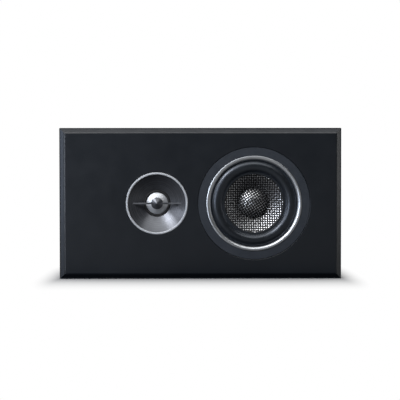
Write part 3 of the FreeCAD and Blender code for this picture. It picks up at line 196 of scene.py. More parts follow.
floor_height = cad_box[0].z
corners = [(x * FLOOR_HALF, y * FLOOR_HALF) for x, y in ((-1, -1), (1, -1), (1, 1), (-1, 1))]
floor_mesh = bpy.data.meshes.new("studio_floor")
floor_mesh.from_pydata([(x, y, floor_height) for x, y in corners], [], [(0, 1, 2, 3)])
floor = bpy.data.objects.new("studio_floor", floor_mesh)
bpy.context.scene.collection.objects.link(floor)
print("floor at", round(floor_height, 4))

# %% Paper that fades into white, with painted shade round the foot
FADE_END = 0.15                 # metres from the foot of the speaker
FADE_POWER = 1.8                # the shadow thins out quickly at first
FADE_AT_ENDS = 5.0              # times quicker beside the ends, where hardly any shadow shows

paper_with_painted_shade = bpy.data.materials.new("matt_white_paper")
paper_with_painted_shade.use_nodes = True
tree = paper_with_painted_shade.node_tree
tree.nodes.clear()
foot_middle, foot_half = (cad_box[0] + cad_box[1]) / 2, (cad_box[1] - cad_box[0]) / 2
place = add_node(tree, "TexCoord").outputs["Object"]
arm = add_node(tree, "VectorMath", {0: place, 1: foot_middle}, operation="SUBTRACT").outputs[0]
arm = add_node(tree, "VectorMath", {0: arm}, operation="ABSOLUTE").outputs[0]
beyond = add_node(tree, "VectorMath", {0: arm, 1: foot_half}, operation="SUBTRACT").outputs[0]
beyond = add_node(tree, "VectorMath", {0: beyond, 1: (0, 0, 0)}, operation="MAXIMUM").outputs[0]
quicker = {0: beyond, 1: (FADE_AT_ENDS, 1, 1)}
beyond = add_node(tree, "VectorMath", quicker, operation="MULTIPLY").outputs[0]
reach = add_node(tree, "VectorMath", {0: beyond}, operation="LENGTH").outputs["Value"]
# Painted shade: the mix from grey paper to glowing white goes by distance from the foot alone, so
# the dark halo is there whatever the lamps do.
nearness = {"Value": reach, "From Min": FADE_END, "From Max": 0.0}
shade = add_node(tree, "MapRange", nearness).outputs["Result"]
shade = add_node(tree, "Math", {0: shade, 1: FADE_POWER}, operation="POWER").outputs[0]
fade = add_node(tree, "Math", {0: 1.0, 1: shade}, operation="SUBTRACT").outputs[0]
print("the paper fades within", FADE_END, "m")

# %% White for the camera, and in metal
# Painted shade in reflections: metal sees the white floor dimmed, and only far from the foot.
MIRRORED_WHITE = 0.27           # how bright metal sees the white floor
MIRRORED_POWER = 4.0            # keeps that white further from the speaker
FLOOR_PAINTED_SHADE_GREY = "929292"          # grey of the paper near the foot, as the camera sees it: painted shade over the real shadow
FLOOR_PAINTED_DARK = "1c1c1e"          # near-black paper for all other rays: painted shade in what metal mirrors

ray = add_node(tree, "LightPath").outputs
seen = ray["Is Camera Ray"]
either = {0: ray["Is Glossy Ray"], 1: ray["Is Transmission Ray"]}
bounced = add_node(tree, "Math", either, operation="MAXIMUM").outputs[0]
mirrored = add_node(tree, "Math", {0: fade, 1: MIRRORED_POWER}, operation="POWER").outputs[0]
dimmer = {0: mirrored, 1: MIRRORED_WHITE}
mirrored = add_node(tree, "Math", dimmer, operation="MULTIPLY").outputs[0]
mirrored = add_node(tree, "Math", {0: mirrored, 1: bounced}, operation="MULTIPLY").outputs[0]
both = {0: fade, 1: seen, 2: mirrored}
share = add_node(tree, "Math", both, operation="MULTIPLY_ADD").outputs[0]
tone = two_tones(tree, seen, FLOOR_PAINTED_DARK, FLOOR_PAINTED_SHADE_GREY)
paper = add_node(tree, "BsdfDiffuse", {"Color": tone}).outputs[0]
glow = add_node(tree, "Emission", {"Color": (1, 1, 1, 1), "Strength": 1.0}).outputs[0]
sheet = add_node(tree, "MixShader", {0: share, 1: paper, 2: glow}).outputs[0]
add_node(tree, "OutputMaterial", {"Surface": sheet})
floor_mesh.materials.append(paper_with_painted_shade)
print("white in metal", MIRRORED_WHITE)

# %% [markdown]
# ## Room
#
# The speaker mirrors the room that it stands in. A picture of a studio could be wrapped round it,
# but a few numbers are enough: the room is white behind the speaker, like the backdrop, and dark
# behind the camera, which is what keeps a black object black. The camera itself sees white all
# round.

# %% Room that the speaker reflects
ROOM_FRONT, ROOM_SIDE, ROOM_BACK = 0.02, 0.06, 1.0      # light from the front, sides and backdrop
FRONT_FULL, BACK_FULL = -0.9, 0.5       # how far round, from -1 in front to 1 behind, each is full

room = bpy.data.worlds.new("studio_room")
room.use_nodes = True
bpy.context.scene.world = room
tree = room.node_tree
tree.nodes.clear()
direction = add_node(tree, "TexCoord").outputs["Generated"]
depth = add_node(tree, "SeparateXYZ", {0: direction}).outputs["Y"]
front_half = add_node(tree, "MapRange", {
    "Value": depth, "From Min": FRONT_FULL, "From Max": 0.0,
    "To Min": ROOM_FRONT, "To Max": ROOM_SIDE,
}, interpolation_type="SMOOTHSTEP").outputs["Result"]
back_half = add_node(tree, "MapRange", {
    "Value": depth, "From Min": 0.0, "From Max": BACK_FULL,
    "To Min": 0.0, "To Max": ROOM_BACK - ROOM_SIDE,
}, interpolation_type="SMOOTHSTEP").outputs["Result"]
all_round = add_node(tree, "Math", {0: front_half, 1: back_half}, operation="ADD").outputs[0]
seen = add_node(tree, "LightPath").outputs["Is Camera Ray"]
brightness = add_node(tree, "Math", {0: all_round, 1: seen}, operation="MAXIMUM").outputs[0]
backdrop = add_node(tree, "Background", {"Color": (1, 1, 1, 1), "Strength": brightness})
add_node(tree, "OutputWorld", {"Surface": backdrop.outputs[0]})
print("room", ROOM_FRONT, ROOM_SIDE, ROOM_BACK)

# %% [markdown]
# ## Soft boxes
#
# The bevel of the box tells where the lights were: it is brightest along the top, blue-grey at the
# left, even at the right and nearly black at the bottom. The rings and the cone are lit from the
# upper left. So there is a large soft box overhead and one above the front, and a bright key light
# at the upper left. A tall box near the camera gives the face its gradient from the left. Each end
# has a strip for its bevel and a fill for its side of the drivers. Point lamps would be simpler,
# but area lamps give both the soft shadow and the shape that metal mirrors.

# %% Lamps
AIM = Vector((0.0, -0.08, -0.05))
WATTS_PER_GLOW = 4.0            # for each square metre of a lamp that is as bright as white


def soft_box(name, where, width, height, glow, tint="ffffff"):
    """An area lamp that faces the speaker; glow is the brightness of its white front."""
    lamp = bpy.data.lights.new(name, "AREA")
    lamp.shape = "RECTANGLE"
    lamp.size, lamp.size_y = width, height
    lamp.energy = WATTS_PER_GLOW * width * height * glow
    lamp.color = hex_linear(tint)[:3]
    holder = bpy.data.objects.new(name, lamp)
    holder.location = where
    holder.rotation_euler = (AIM - Vector(where)).to_track_quat("-Z", "Y").to_euler()
    holder.visible_camera = False
    bpy.context.scene.collection.objects.link(holder)
    print("soft box", name, "glow", glow)


soft_box("overhead_box", (0.0, 0.05, 1.15), 1.6, 0.8, 2.1)
soft_box("top_box", (-0.1, -0.86, 1.0), 1.5, 0.5, 2.7)
soft_box("left_box", (-0.9, -1.41, 0.1), 0.26, 0.6, 11.0, "e4eeff")
soft_box("left_strip", (-1.25, -0.15, 0.0), 0.5, 0.8, 2.4, "d4e4ff")
soft_box("left_fill", (-1.0, -0.6, 0.32), 0.3, 0.3, 4.5, "f0f4ff")
soft_box("key_box", (-0.74, -0.9, 0.78), 0.4, 0.4, 16.0, "f6f8ff")
soft_box("right_strip", (1.2, 0.02, 0.1), 0.14, 0.9, 4.0)
soft_box("right_fill", (1.2, -0.3, 0.1), 0.14, 0.9, 1.8)

# %% [markdown]
# ## How a finish is put together
#
# No real surface is one flat colour. Paint, plastic and plating all wander a little in tone and in
# gloss, and they have a skin: orange peel, the bite of a mould, the marks of a tool. So each finish
# here has three parts: a colour between two close tones, a roughness that drifts about a typical
# value, and a small bump. The sizes are in millimetres. A photograph of each surface would do too,
# but noise is enough for skins that were cast, moulded, painted or plated.

# %% A skin with grain
NOISE_LOW, NOISE_HIGH = 0.3, 0.7        # noise seldom leaves this range
DRIFT_DETAIL, SKIN_DETAIL = 3.0, 2.0
GLOSS_FINER = 3                 # patches of gloss are this much smaller than patches of tone
finishes = {}


def start_finish(name):
    """An empty material; returns it with its tree and the place on the object."""
    material = bpy.data.materials.new(name)
    material.use_nodes = True
    material.node_tree.nodes.clear()
    return material, material.node_tree, add_node(material.node_tree, "TexCoord").outputs["Object"]


def drift(tree, place, size, low, high):
    """A number that wanders between low and high in patches of about that size in mm."""
    patches = {"Vector": place, "Scale": 1 / (size * MM), "Detail": DRIFT_DETAIL}
    cloud = add_node(tree, "TexNoise", patches).outputs["Fac"]
    return add_node(tree, "MapRange", {
        "Value": cloud, "From Min": NOISE_LOW, "From Max": NOISE_HIGH,
        "To Min": low, "To Max": high,
    }).outputs["Result"]


def grained(name, dark, light, roughness, grain, bite, patch=14.0, spread=0.05, **sockets):
    """A skin with a grain of that size and that deep, in mm, that drifts in tone and gloss."""
    material, tree, place = start_finish(name)
    tone = two_tones(tree, drift(tree, place, patch, 0.0, 1.0), dark, light)
    gloss = drift(tree, place, patch / GLOSS_FINER, roughness - spread, roughness + spread)
    grains = {"Vector": place, "Scale": 1 / (grain * MM), "Detail": SKIN_DETAIL}
    skin = add_node(tree, "TexNoise", grains).outputs["Fac"]
    bump = add_node(tree, "Bump", {"Height": skin, "Distance": bite * MM}).outputs["Normal"]
    values = {name.replace("_", " "): value for name, value in sockets.items()}
    shader = add_node(tree, "BsdfPrincipled", {
        "Base Color": tone, "Roughness": gloss, "Normal": bump, **values,
    })
    add_node(tree, "OutputMaterial", {"Surface": shader.outputs["BSDF"]})
    return material


print("noise is read from", NOISE_LOW, "to", NOISE_HIGH)

# %% [markdown]
# ## The box
#
# The front is fibreboard with a sprayed satin lacquer. It is near black, faintly blue, and soft
# gradients lie along its bevels. The folded walls carry a vinyl film that is pressed with a fine
# grain, and the rear panel has plain matt paint. The orange peel of the lacquer is a millimetre or
# two wide and the grains are finer: in this small picture they only soften the reflections, which
# is just what they do to the eye.

# %% Lacquer, vinyl and paint
# Satin lacquer: broad, soft reflections over a faint blue depth.
finishes["black_lacquer"] = grained(
    "sprayed_black_lacquer", "13171c", "171b20", 0.31, 1.6, 0.008,
    patch=60.0, spread=0.03, IOR=1.5)
# Vinyl film: duller than the lacquer, with a fine even grain.
finishes["black_vinyl"] = grained(
    "pressed_black_vinyl", "131417", "18191c", 0.46, 0.7, 0.06,
    patch=30.0, spread=0.02, IOR=1.53)
# Matt paint: a dull, slightly lighter black that mirrors nothing.
finishes["rear_board"] = grained(
    "matt_black_paint", "242425", "2b2b2c", 0.66, 0.5, 0.04, patch=25.0, IOR=1.5)
print("finishes", len(finishes))

# %% [markdown]
# ## Turned and spun metal
#
# The two rings, the horn and the dome were all shaped while spinning. Fine circular marks stay, too
# thin to see one by one. A noise that depends only on the radius gives rings of different depth and
# gloss. On the horn the marks also stretch the highlight into a wedge that points at the axis, and
# the shader's anisotropy, turned round the axis, gives that; the others are too matt for it to
# show. The horn and the dome are set as partly metal, which lifts their shadows a little. The marks
# are really a few hundredths of a millimetre apart: they are drawn coarser here, so that they show.

# %% Metal with circular tool marks
MARK_GLOSS = 0.15               # how much the roughness differs from mark to mark, as a share
TURNED_PATCH = 9.0              # mm


def arm_from(tree, place, axis):
    """The arm that goes square from a driver's axis to the place, and its length."""
    arm = add_node(tree, "VectorMath", {0: place, 1: axis}, operation="SUBTRACT").outputs[0]
    arm = add_node(tree, "VectorMath", {0: arm, 1: (1, 0, 1)}, operation="MULTIPLY").outputs[0]
    return arm, add_node(tree, "VectorMath", {0: arm}, operation="LENGTH").outputs["Value"]


def turned_metal(name, axis, dark, light, roughness, mark, bite, stretch=0.0, metal=1.0):
    """Metal spun on that axis: marks that far apart and that deep, in mm, and a stretched gloss."""
    material, tree, place = start_finish(name)
    arm, radius = arm_from(tree, place, axis)
    rings = {"W": radius, "Scale": 1 / (mark * MM), "Detail": SKIN_DETAIL}
    marks = add_node(tree, "TexNoise", rings, noise_dimensions="1D").outputs["Fac"]
    gloss = add_node(tree, "MapRange", {
        "Value": marks, "From Min": NOISE_LOW, "From Max": NOISE_HIGH,
        "To Min": roughness * (1 - MARK_GLOSS), "To Max": roughness * (1 + MARK_GLOSS),
    }).outputs["Result"]
    bump = add_node(tree, "Bump", {"Height": marks, "Distance": bite * MM}).outputs["Normal"]
    round_axis = {0: arm, 1: (0, 1, 0)}
    along = add_node(tree, "VectorMath", round_axis, operation="CROSS_PRODUCT").outputs[0]
    tone = two_tones(tree, drift(tree, place, TURNED_PATCH, 0.0, 1.0), dark, light)
    shader = add_node(tree, "BsdfPrincipled", {
        "Base Color": tone, "Metallic": metal, "Roughness": gloss,
        "Anisotropic": stretch, "Tangent": along, "Normal": bump,
    })
    add_node(tree, "OutputMaterial", {"Surface": shader.outputs["BSDF"]})
    return material


print("marks differ in gloss by", MARK_GLOSS)

# %% Rings, horn and dome
# Brushed aluminium: a bright line that runs round the ring and fades away from the light.
finishes["polished_trim"] = turned_metal(
    "brushed_aluminium", WOOFER, "c2c5c8", "cdd0d2", 0.38, 0.9, 0.002)
# Blasted and anodised: an even, silky grey with no clear highlight.
finishes["satin_aluminium"] = turned_metal(
    "blasted_anodised_aluminium", TWEETER, "c4c7ca", "cfd1d4", 0.62, 0.5, 0.004)
# Dark turned casting: a smoky mirror with wedges of light.
finishes["horn_casting"] = turned_metal(
    "turned_dark_casting", TWEETER, "4a4c50", "525458", 0.29, 0.7, 0.0006, stretch=0.2, metal=0.6)
# Spun foil: a small soft highlight on a pale dome.
finishes["dome_aluminium"] = turned_metal(
    "spun_aluminium_foil", TWEETER, "cdcfd2", "d8dadc", 0.46, 0.6, 0.002, metal=0.65)
print("finishes", len(finishes))

# %% [markdown]
# ## Plastic and rubber
#
# The bezel, the cup and the caps of the posts are moulded ABS. The mould of the first two was
# bitten by sparks, which leaves a fine, even satin; the caps came out of a smoother one. The roll
# is butyl rubber with a soft gloss, and its skin has a bluish bloom that lights up at a glancing
# angle. A bluish coat would do it, but a little sheen gives just that rim of light.

# %% Moulded parts
# Spark-textured ABS: a fine satin, a little paler than the lacquer round it.
finishes["bezel_plastic"] = grained(
    "spark_textured_abs", "252a31", "2b3037", 0.45, 0.6, 0.02, IOR=1.54)
# Plain moulded ABS: the same satin, a neutral black.
finishes["cup_plastic"] = grained(
    "moulded_black_abs", "222325", "292a2c", 0.48, 0.6, 0.03, IOR=1.54)
# Smooth caps: glossier, so that the edges of their flutes glint.
finishes["black_cap"] = grained(
    "black_post_cap", "1a1a1c", "202022", 0.34, 0.8, 0.01, IOR=1.54)
finishes["red_cap"] = grained(
    "red_post_cap", "9a1a1f", "ad2227", 0.34, 0.8, 0.01, IOR=1.54)
# Butyl rubber: a soft gloss with a bluish rim.
finishes["surround_rubber"] = grained(
    "moulded_butyl_rubber", "121416", "171a1d", 0.33, 0.5, 0.012, IOR=1.52,
    Specular_IOR_Level=0.7, Sheen_Weight=0.4, Sheen_Roughness=0.4,
    Sheen_Tint=hex_linear("9db6d8"), Specular_Tint=hex_linear("e0e8f4"))
# Soft rubber: matt black feet.
finishes["bumper_rubber"] = grained(
    "soft_black_rubber", "151515", "1c1c1c", 0.62, 0.5, 0.03, IOR=1.52)
print("finishes", len(finishes))

# %% [markdown]
# ## Phase plug
#
# In front of the dome stands a small bullet on a thin fin. The bullet is nearly black, and so is
# the stretch of the fin beside it: that dark is painted shade. The rest of the fin is bare satin
# metal that catches the light. Two materials would leave a hard line between them, so one does
# both: the distance from the axis tells the shaded middle from the bare ends.

# %% Bare metal of the plug, with painted shade near the axis
SHADED_MIDDLE_END, BARE_START = 12.0, 16.0     # mm from the axis
PLUG_TONE_PATCH, PLUG_GLOSS_PATCH = 6.0, 4.0    # mm
PLUG_GLOSS_LOW, PLUG_GLOSS_HIGH = 0.28, 0.33
PLUG_METALLIC = 0.5             # half metal, which dims the mirror of the metal

material, tree, place = start_finish("painted_shade_and_bare_metal")
radius = arm_from(tree, place, TWEETER)[1]
# Painted shade: the bullet and the fin beside it take a darker tone near the axis, whatever the
# lamps do.
ends = {"Value": radius, "From Min": SHADED_MIDDLE_END * MM, "From Max": BARE_START * MM}
bare_unshaded = add_node(tree, "MapRange", ends, interpolation_type="SMOOTHSTEP").outputs["Result"]
wander = drift(tree, place, PLUG_TONE_PATCH, 0.0, 1.0)
painted_shade_tone = two_tones(tree, wander, "46484c", "505256")
bare_tone = two_tones(tree, wander, "6e7074", "7c7e82")
tones = {MIX_FACTOR: bare_unshaded, MIX_FIRST: painted_shade_tone, MIX_SECOND: bare_tone}
tone = add_node(tree, "Mix", tones, data_type="RGBA").outputs[MIX_COLOUR]
gloss = drift(tree, place, PLUG_GLOSS_PATCH, PLUG_GLOSS_LOW, PLUG_GLOSS_HIGH)
shader = add_node(tree, "BsdfPrincipled", {
    "Base Color": tone, "Metallic": PLUG_METALLIC, "Roughness": gloss,
})
add_node(tree, "OutputMaterial", {"Surface": shader.outputs["BSDF"]})
finishes["plug_plastic"] = material
print("finishes", len(finishes))

# %% [markdown]
# ## Plated and cast metal
#
# The rest is seen only from behind, or when the box is opened: zinc on the hanger plates, gold on
# the posts, black screws, and the castings and magnets of the drivers. Each could have a tree of
# its own, but they differ only in tone, gloss and grain, so they all take the same three parts.

# %% Plated metal
# Bright zinc: a cool mirror, cloudy from patch to patch.
finishes["plated_steel"] = grained(
    "bright_zinc_plate", "a9adb1", "b9bcbf", 0.34, 2.2, 0.006, patch=6.0, Metallic=1.0)
# Gold flash: warm and glossy.
finishes["gold_plate"] = grained(
    "gold_flash_plate", "c9a048", "d6b05c", 0.22, 1.5, 0.003, patch=8.0, Metallic=1.0)
# Black zinc: a dark metal that only glints at its edges.
finishes["black_screws"] = grained(
    "black_zinc_screw", "2a2a2e", "35353a", 0.38, 0.8, 0.006, patch=5.0, Metallic=1.0)
# Rolled foil: pale and fairly bright.
finishes["former_foil"] = grained(
    "rolled_aluminium_foil", "b5b8bb", "c2c5c8", 0.3, 1.2, 0.004, Metallic=1.0)
# Tinsel: coppery strands that glint one by one.
finishes["tinsel_braid"] = grained(
    "braided_tinsel", "b07a52", "d8b48c", 0.36, 0.5, 0.08, patch=1.0, Metallic=1.0)
# Powder coat: a dark, even, slightly rough skin over the casting.
finishes["cast_frame"] = grained(
    "powder_coated_casting", "202124", "28292c", 0.55, 0.7, 0.05, IOR=1.5)
# Ground ferrite: a dull charcoal.
finishes["ferrite"] = grained("ground_ferrite", "2b2a2b", "363536", 0.6, 0.6, 0.02, IOR=2.4)
print("finishes", len(finishes))

# %% [markdown]
# ## Crossover, cloth and foam
#
# A crossover is a small board with two chokes, two capacitors and a resistor, and the drivers have
# tag strips, a gasket and cloth. They are told apart by their colours first, so the colours are
# the usual ones of the trade, and the gloss says which are films and which are fired or woven.

# %% Boards, cloth and components
# Laminates: brown paper and green epoxy, both with a slight shine.
finishes["paxolin"] = grained("paper_laminate", "7a4b28", "8c5a33", 0.5, 0.8, 0.01)
finishes["board_laminate"] = grained("epoxy_board", "274f36", "2f5b3f", 0.4, 0.9, 0.01)
# Nylon: waxy white.
finishes["spacer_nylon"] = grained(
    "moulded_nylon", "d3cfc3", "dedacf", 0.42, 0.8, 0.01, IOR=1.53)
# Wound film and shrunk sleeve: glossy, with slow waves where they were drawn tight.
finishes["film_wrap"] = grained(
    "wound_polyester_film", "b8923c", "c7a24b", 0.3, 3.0, 0.02, IOR=1.6)
finishes["can_sleeve"] = grained("shrunk_blue_sleeve", "1c3558", "244168", 0.34, 2.0, 0.02)
# Fired cement: chalky.
finishes["cement"] = grained("fired_cement", "c4bfb4", "d2cdc3", 0.75, 0.5, 0.05)
# Wire insulation: a soft shine along the wire.
finishes["wire_sleeve"] = grained(
    "wire_insulation", "202023", "29292d", 0.45, 1.0, 0.01, IOR=1.53)
# Foam, cotton, silk and wadding: no gloss, and a skin of cells or threads.
finishes["seal_foam"] = grained("closed_cell_foam", "1b1b1c", "242425", 0.85, 0.6, 0.12)
finishes["spider_cloth"] = grained(
    "phenolic_cotton", "8a6a3e", "a07d4d", 0.8, 0.5, 0.1, patch=2.0)
finishes["soft_edge"] = grained("doped_silk", "0b0b0c", "111112", 0.7, 0.5, 0.03, patch=3.0)
finishes["wadding"] = grained(
    "polyester_wadding", "cfcfcd", "e2e2e0", 0.95, 2.5, 0.6, patch=9.0)
print("finishes", len(finishes))

# %% [markdown]
# ## Windings
#
# The coils are wound from enamelled copper wire, which lies in neat rows. Modelling each turn would
# cost thousands of faces that nobody sees. A wave along the axis gives the rows as a bump, and the
# clear enamel leaves the bright, warm gloss of the metal.

# %% Wound copper
WIRE_PITCH = 0.8                # mm: thicker than the real wire, so that the rows show
WIRE_BULGE = 0.25               # height of a row, as a share of the pitch
WAVE_AT_SCALE_ONE = math.pi / 10        # length of one wave of a Wave texture
WIRE_ROUGHNESS = 0.3
WIRE_PATCH = 6.0                # mm

material, tree, place = start_finish("enamelled_copper_winding")
turns = {"Vector": place, "Scale": WAVE_AT_SCALE_ONE / (WIRE_PITCH * MM)}
rows = add_node(
    tree, "TexWave", turns, bands_direction="Y", wave_profile="SIN").outputs["Fac"]
tone = two_tones(tree, drift(tree, place, WIRE_PATCH, 0.0, 1.0), "9a4f2a", "b8693c")
relief = {"Height": rows, "Distance": WIRE_PITCH * WIRE_BULGE * MM}
bump = add_node(tree, "Bump", relief).outputs["Normal"]
shader = add_node(tree, "BsdfPrincipled", {
    "Base Color": tone, "Metallic": 1.0, "Roughness": WIRE_ROUGHNESS, "Normal": bump,
})
add_node(tree, "OutputMaterial", {"Surface": shader.outputs["BSDF"]})
finishes["copper_winding"] = material
print("finishes", len(finishes))

# %% [markdown]
# ## The woven cone
#
# The cone and its cap are pressed from a plain weave of silvery glass tows in black resin. Each tow
# goes over one neighbour and under the next, and each crown catches the light as one bright dot. An
# image or a bump map could draw the dots, but they would not change as the light moves round the
# cone. So the tows are real: flat strands that follow the pressed surface and rise and dip across
# each other. The CAD cone stays under them as the black resin.

# %% Surface under the cloth
def arc_through(first, bow, last):
    """The depth of an arc through three (radius, depth) points, as a function of the radius."""
    (x1, y1), (x2, y2), (x3, y3) = first, bow, last
    scale = 2 * (x1 * (y2 - y3) + x2 * (y3 - y1) + x3 * (y1 - y2))
    q1, q2, q3 = (x * x + y * y for x, y in (first, bow, last))
    cx = (q1 * (y2 - y3) + q2 * (y3 - y1) + q3 * (y1 - y2)) / scale
    cy = (q1 * (x3 - x2) + q2 * (x1 - x3) + q3 * (x2 - x1)) / scale
    reach = math.hypot(x2 - cx, y2 - cy)
    side = math.copysign(1.0, y2 - cy)
    return lambda radius: cy + side * math.sqrt(max(reach ** 2 - (radius - cx) ** 2, 0.0))


CONE_EDGE, CONE_MIDDLE, CONE_NECK = (35.4, 4.6), (24.25, 11.85), (13.1, 22.1)
CAP_RADIUS, CAP_HEIGHT = 18.4, 8.4
CAP_GLUE = 0.1                  # mm between the cone and the rim of the cap
CAP_TURN = math.radians(32)

cone_depth = arc_through(CONE_EDGE, CONE_MIDDLE, CONE_NECK)
cap_rim = cone_depth(CAP_RADIUS) - CAP_GLUE
cap_depth = arc_through(
    (-CAP_RADIUS, cap_rim), (0.0, cap_rim - CAP_HEIGHT), (CAP_RADIUS, cap_rim))

# %% Path of a tow
CONE_PITCH, CAP_PITCH = 2.8, 2.95       # mm between neighbouring tows
STEPS_PER_CROSSING = 8
SLOPE_STEP = 0.01               # mm
SMALLEST_RADIUS = 1e-6          # mm: the middle of the cap has no direction of its own


def surface_frame(depth_at, u, v):
    """The point at (u, v) on the pressed surface, in mm, and its normal towards the listener."""
    radius = max(math.hypot(u, v), SMALLEST_RADIUS)
    fall = depth_at(radius + SLOPE_STEP) - depth_at(radius - SLOPE_STEP)
    slope = fall / (2 * SLOPE_STEP)
    normal = Vector((slope * u / radius, -1.0, slope * v / radius)).normalized()
    return Vector((u, depth_at(radius), v)), normal


def tow_runs(offset, inner, outer, pitch):
    """The stretches of a tow between the two radii, as lists of places along it."""
    half = math.sqrt(max(outer ** 2 - offset ** 2, 0.0))
    step = pitch / STEPS_PER_CROSSING
    count = int(half / step)
    runs, run = [], []
    for index in range(-count, count + 1):
        along = index * step
        if math.hypot(offset, along) < inner:
            runs.append(run)
            run = []
        else:
            run.append(along)
    runs.append(run)
    return [r for r in runs if len(r) > STEPS_PER_CROSSING / 2]


print("tows across the cone", int(2 * CONE_EDGE[0] / CONE_PITCH))

# %% Tows that cross over and under
TOW_WIDTH = 1.5                 # mm
TOW_THICKNESS = 0.32
TOW_RISE = 0.3                  # how far a tow swings each side of the middle of the cloth
TOW_LIFT = 0.1                  # middle of the cloth above the resin
TOW_SIDES = 8


def lay_tow(mesh, depth_at, offset, run, family, turn, over, pitch):
    """Adds one flat strand to the lists of points, faces and strand coordinates."""
    points, faces, strands = mesh
    first = len(points)
    cosine, sine = math.cos(turn), math.sin(turn)
    for along in run:
        u, v = (offset, along) if family == 0 else (along, offset)
        place, normal = surface_frame(depth_at, u * cosine - v * sine, u * sine + v * cosine)
        ahead = Vector((-sine, 0, cosine)) if family == 0 else Vector((cosine, 0, sine))
        side = normal.cross(ahead).normalized()
        height = over * math.cos(math.pi * (along / pitch - 0.5))
        lift = TOW_LIFT + TOW_RISE * height
        for corner in range(TOW_SIDES):
            angle = 2 * math.pi * corner / TOW_SIDES
            across = TOW_WIDTH / 2 * math.cos(angle)
            bulge = TOW_THICKNESS / 2 * math.sin(angle)
            points.append(place + side * across + normal * (lift + bulge))
            strands.append((across, along, math.cos(angle), height))
    for ring in range(len(run) - 1):
        for corner in range(TOW_SIDES):
            beside = (corner + 1) % TOW_SIDES
            low, high = first + ring * TOW_SIDES, first + (ring + 1) * TOW_SIDES
            faces.append((low + corner, low + beside, high + beside, high + corner))
    last = first + (len(run) - 1) * TOW_SIDES
    faces.append(tuple(range(first + TOW_SIDES - 1, first - 1, -1)))
    faces.append(tuple(range(last, last + TOW_SIDES)))


def new_piece(name, points, faces, slot):
    """A smooth mesh object with that slot's finish."""
    mesh = bpy.data.meshes.new(name)
    mesh.from_pydata([tuple(p) for p in points], [], faces)
    mesh.update()
    mesh.polygons.foreach_set("use_smooth", [True] * len(mesh.polygons))
    mesh.materials.append(finishes[slot])
    piece = bpy.data.objects.new(name, mesh)
    bpy.context.scene.collection.objects.link(piece)
    return piece


print("a tow is", TOW_WIDTH, "mm wide and", TOW_THICKNESS, "mm thick")

# %% [markdown]
# ## Glass tows and resin
#
# A tow is a ribbon of thousands of glass threads with a thin metallic coat. Resin fills the dips
# and runs up the flanks, so only the crowns are bare and bright; that dark of the dips and flanks
# is partly the resin and partly painted shade, where the weave shades itself. The threads are a
# hundredth of a millimetre thick and only show as a streaky gloss along the tow, so the streaks are
# drawn some thirty times coarser. A noise in space would lie across the tows as often as along
# them, so the streaks follow the strand's own coordinates, which are kept on the mesh as a UV map.

# %% Threads along the tow
THREAD_WIDTH = 0.32             # mm: much coarser than the real threads, so that the streaks show
THREAD_STRETCH = 0.08           # width of a streak over its length
THREAD_BUMP = 0.003             # mm

material, tree, _ = start_finish("metal_coated_glass_tow")
strand = add_node(tree, "UVMap", uv_map="strand").outputs["UV"]
streaks = {0: strand, 1: (1 / THREAD_WIDTH, THREAD_STRETCH / THREAD_WIDTH, 0)}
stretched = add_node(tree, "VectorMath", streaks, operation="MULTIPLY").outputs[0]
fibres = {"Vector": stretched, "Scale": 1.0, "Detail": SKIN_DETAIL}
threads = add_node(tree, "TexNoise", fibres).outputs["Fac"]
relief = {"Height": threads, "Distance": THREAD_BUMP * MM}
bump = add_node(tree, "Bump", relief).outputs["Normal"]
print("a streak is", THREAD_WIDTH / THREAD_STRETCH, "mm long")

# %% Bare crowns in black resin, with painted shade in the dips
DIP_END, CROWN_START = 0.35, 0.85       # height on the strand, from -1 in the dip to 1 on the crown
FLANK_START, FLANK_END = 0.3, 0.8       # place across it, from 0 in its middle to 1 at its edge
TOW_ROUGHNESS = 0.17

# Painted shade: the dips and flanks of each tow take the black resin tone and lose their metal,
# which is partly the resin and partly the shade of the weave on itself.
crown_map = add_node(tree, "UVMap", uv_map="crown").outputs["UV"]
crown = add_node(tree, "SeparateXYZ", {0: crown_map}).outputs
flank = add_node(tree, "Math", {0: crown["X"]}, operation="ABSOLUTE").outputs[0]
tops = {"Value": crown["Y"], "From Min": DIP_END, "From Max": CROWN_START}
bare_unshaded_top = add_node(tree, "MapRange", tops, interpolation_type="SMOOTHSTEP").outputs["Result"]
middles = {"Value": flank, "From Min": FLANK_END, "From Max": FLANK_START}
bare_unshaded_middle = add_node(
    tree, "MapRange", middles, interpolation_type="SMOOTHSTEP").outputs["Result"]
bare_unshaded = add_node(tree, "Math", {0: bare_unshaded_top, 1: bare_unshaded_middle}, operation="MULTIPLY").outputs[0]
silver = two_tones(tree, threads, "d6d8da", "f4f4f5")
tones = {MIX_FACTOR: bare_unshaded, MIX_FIRST: hex_linear("0b0b0c"), MIX_SECOND: silver}
tone = add_node(tree, "Mix", tones, data_type="RGBA").outputs[MIX_COLOUR]
shader = add_node(tree, "BsdfPrincipled", {
    "Base Color": tone, "Metallic": bare_unshaded, "Roughness": TOW_ROUGHNESS, "Normal": bump,
})
add_node(tree, "OutputMaterial", {"Surface": shader.outputs["BSDF"]})
finishes["woven_fibre"] = material

# Pressed resin: a dull black ground, so that only the tows shine.
resin = grained("black_cone_resin", "09090a", "0d0d0e", 0.5, 0.6, 0.02, IOR=1.5)
print("finishes", len(finishes))

# %% [markdown]
# ## Weave the cone and the cap
#
# The cloth is cut round and pressed, so its tows stay straight when they are seen from the front.
# An array of one woven cell would be quick, but it would not follow the bowl. Here each tow is laid
# by itself across the bowl, and each family goes over where the other goes under. The cap is a
# second piece of cloth, turned a little.

# %% Lay both families of tows
CLOTH_UNDER_CAP = 0.4           # mm: how far the cloth of the cone runs in under the cap
CONE_CLOTH_EDGE = 0.3           # mm from the end of the cloth to the edge of the cone
CAP_CLOTH_EDGE = 0.15           # mm from the end of the cloth to the rim of the cap


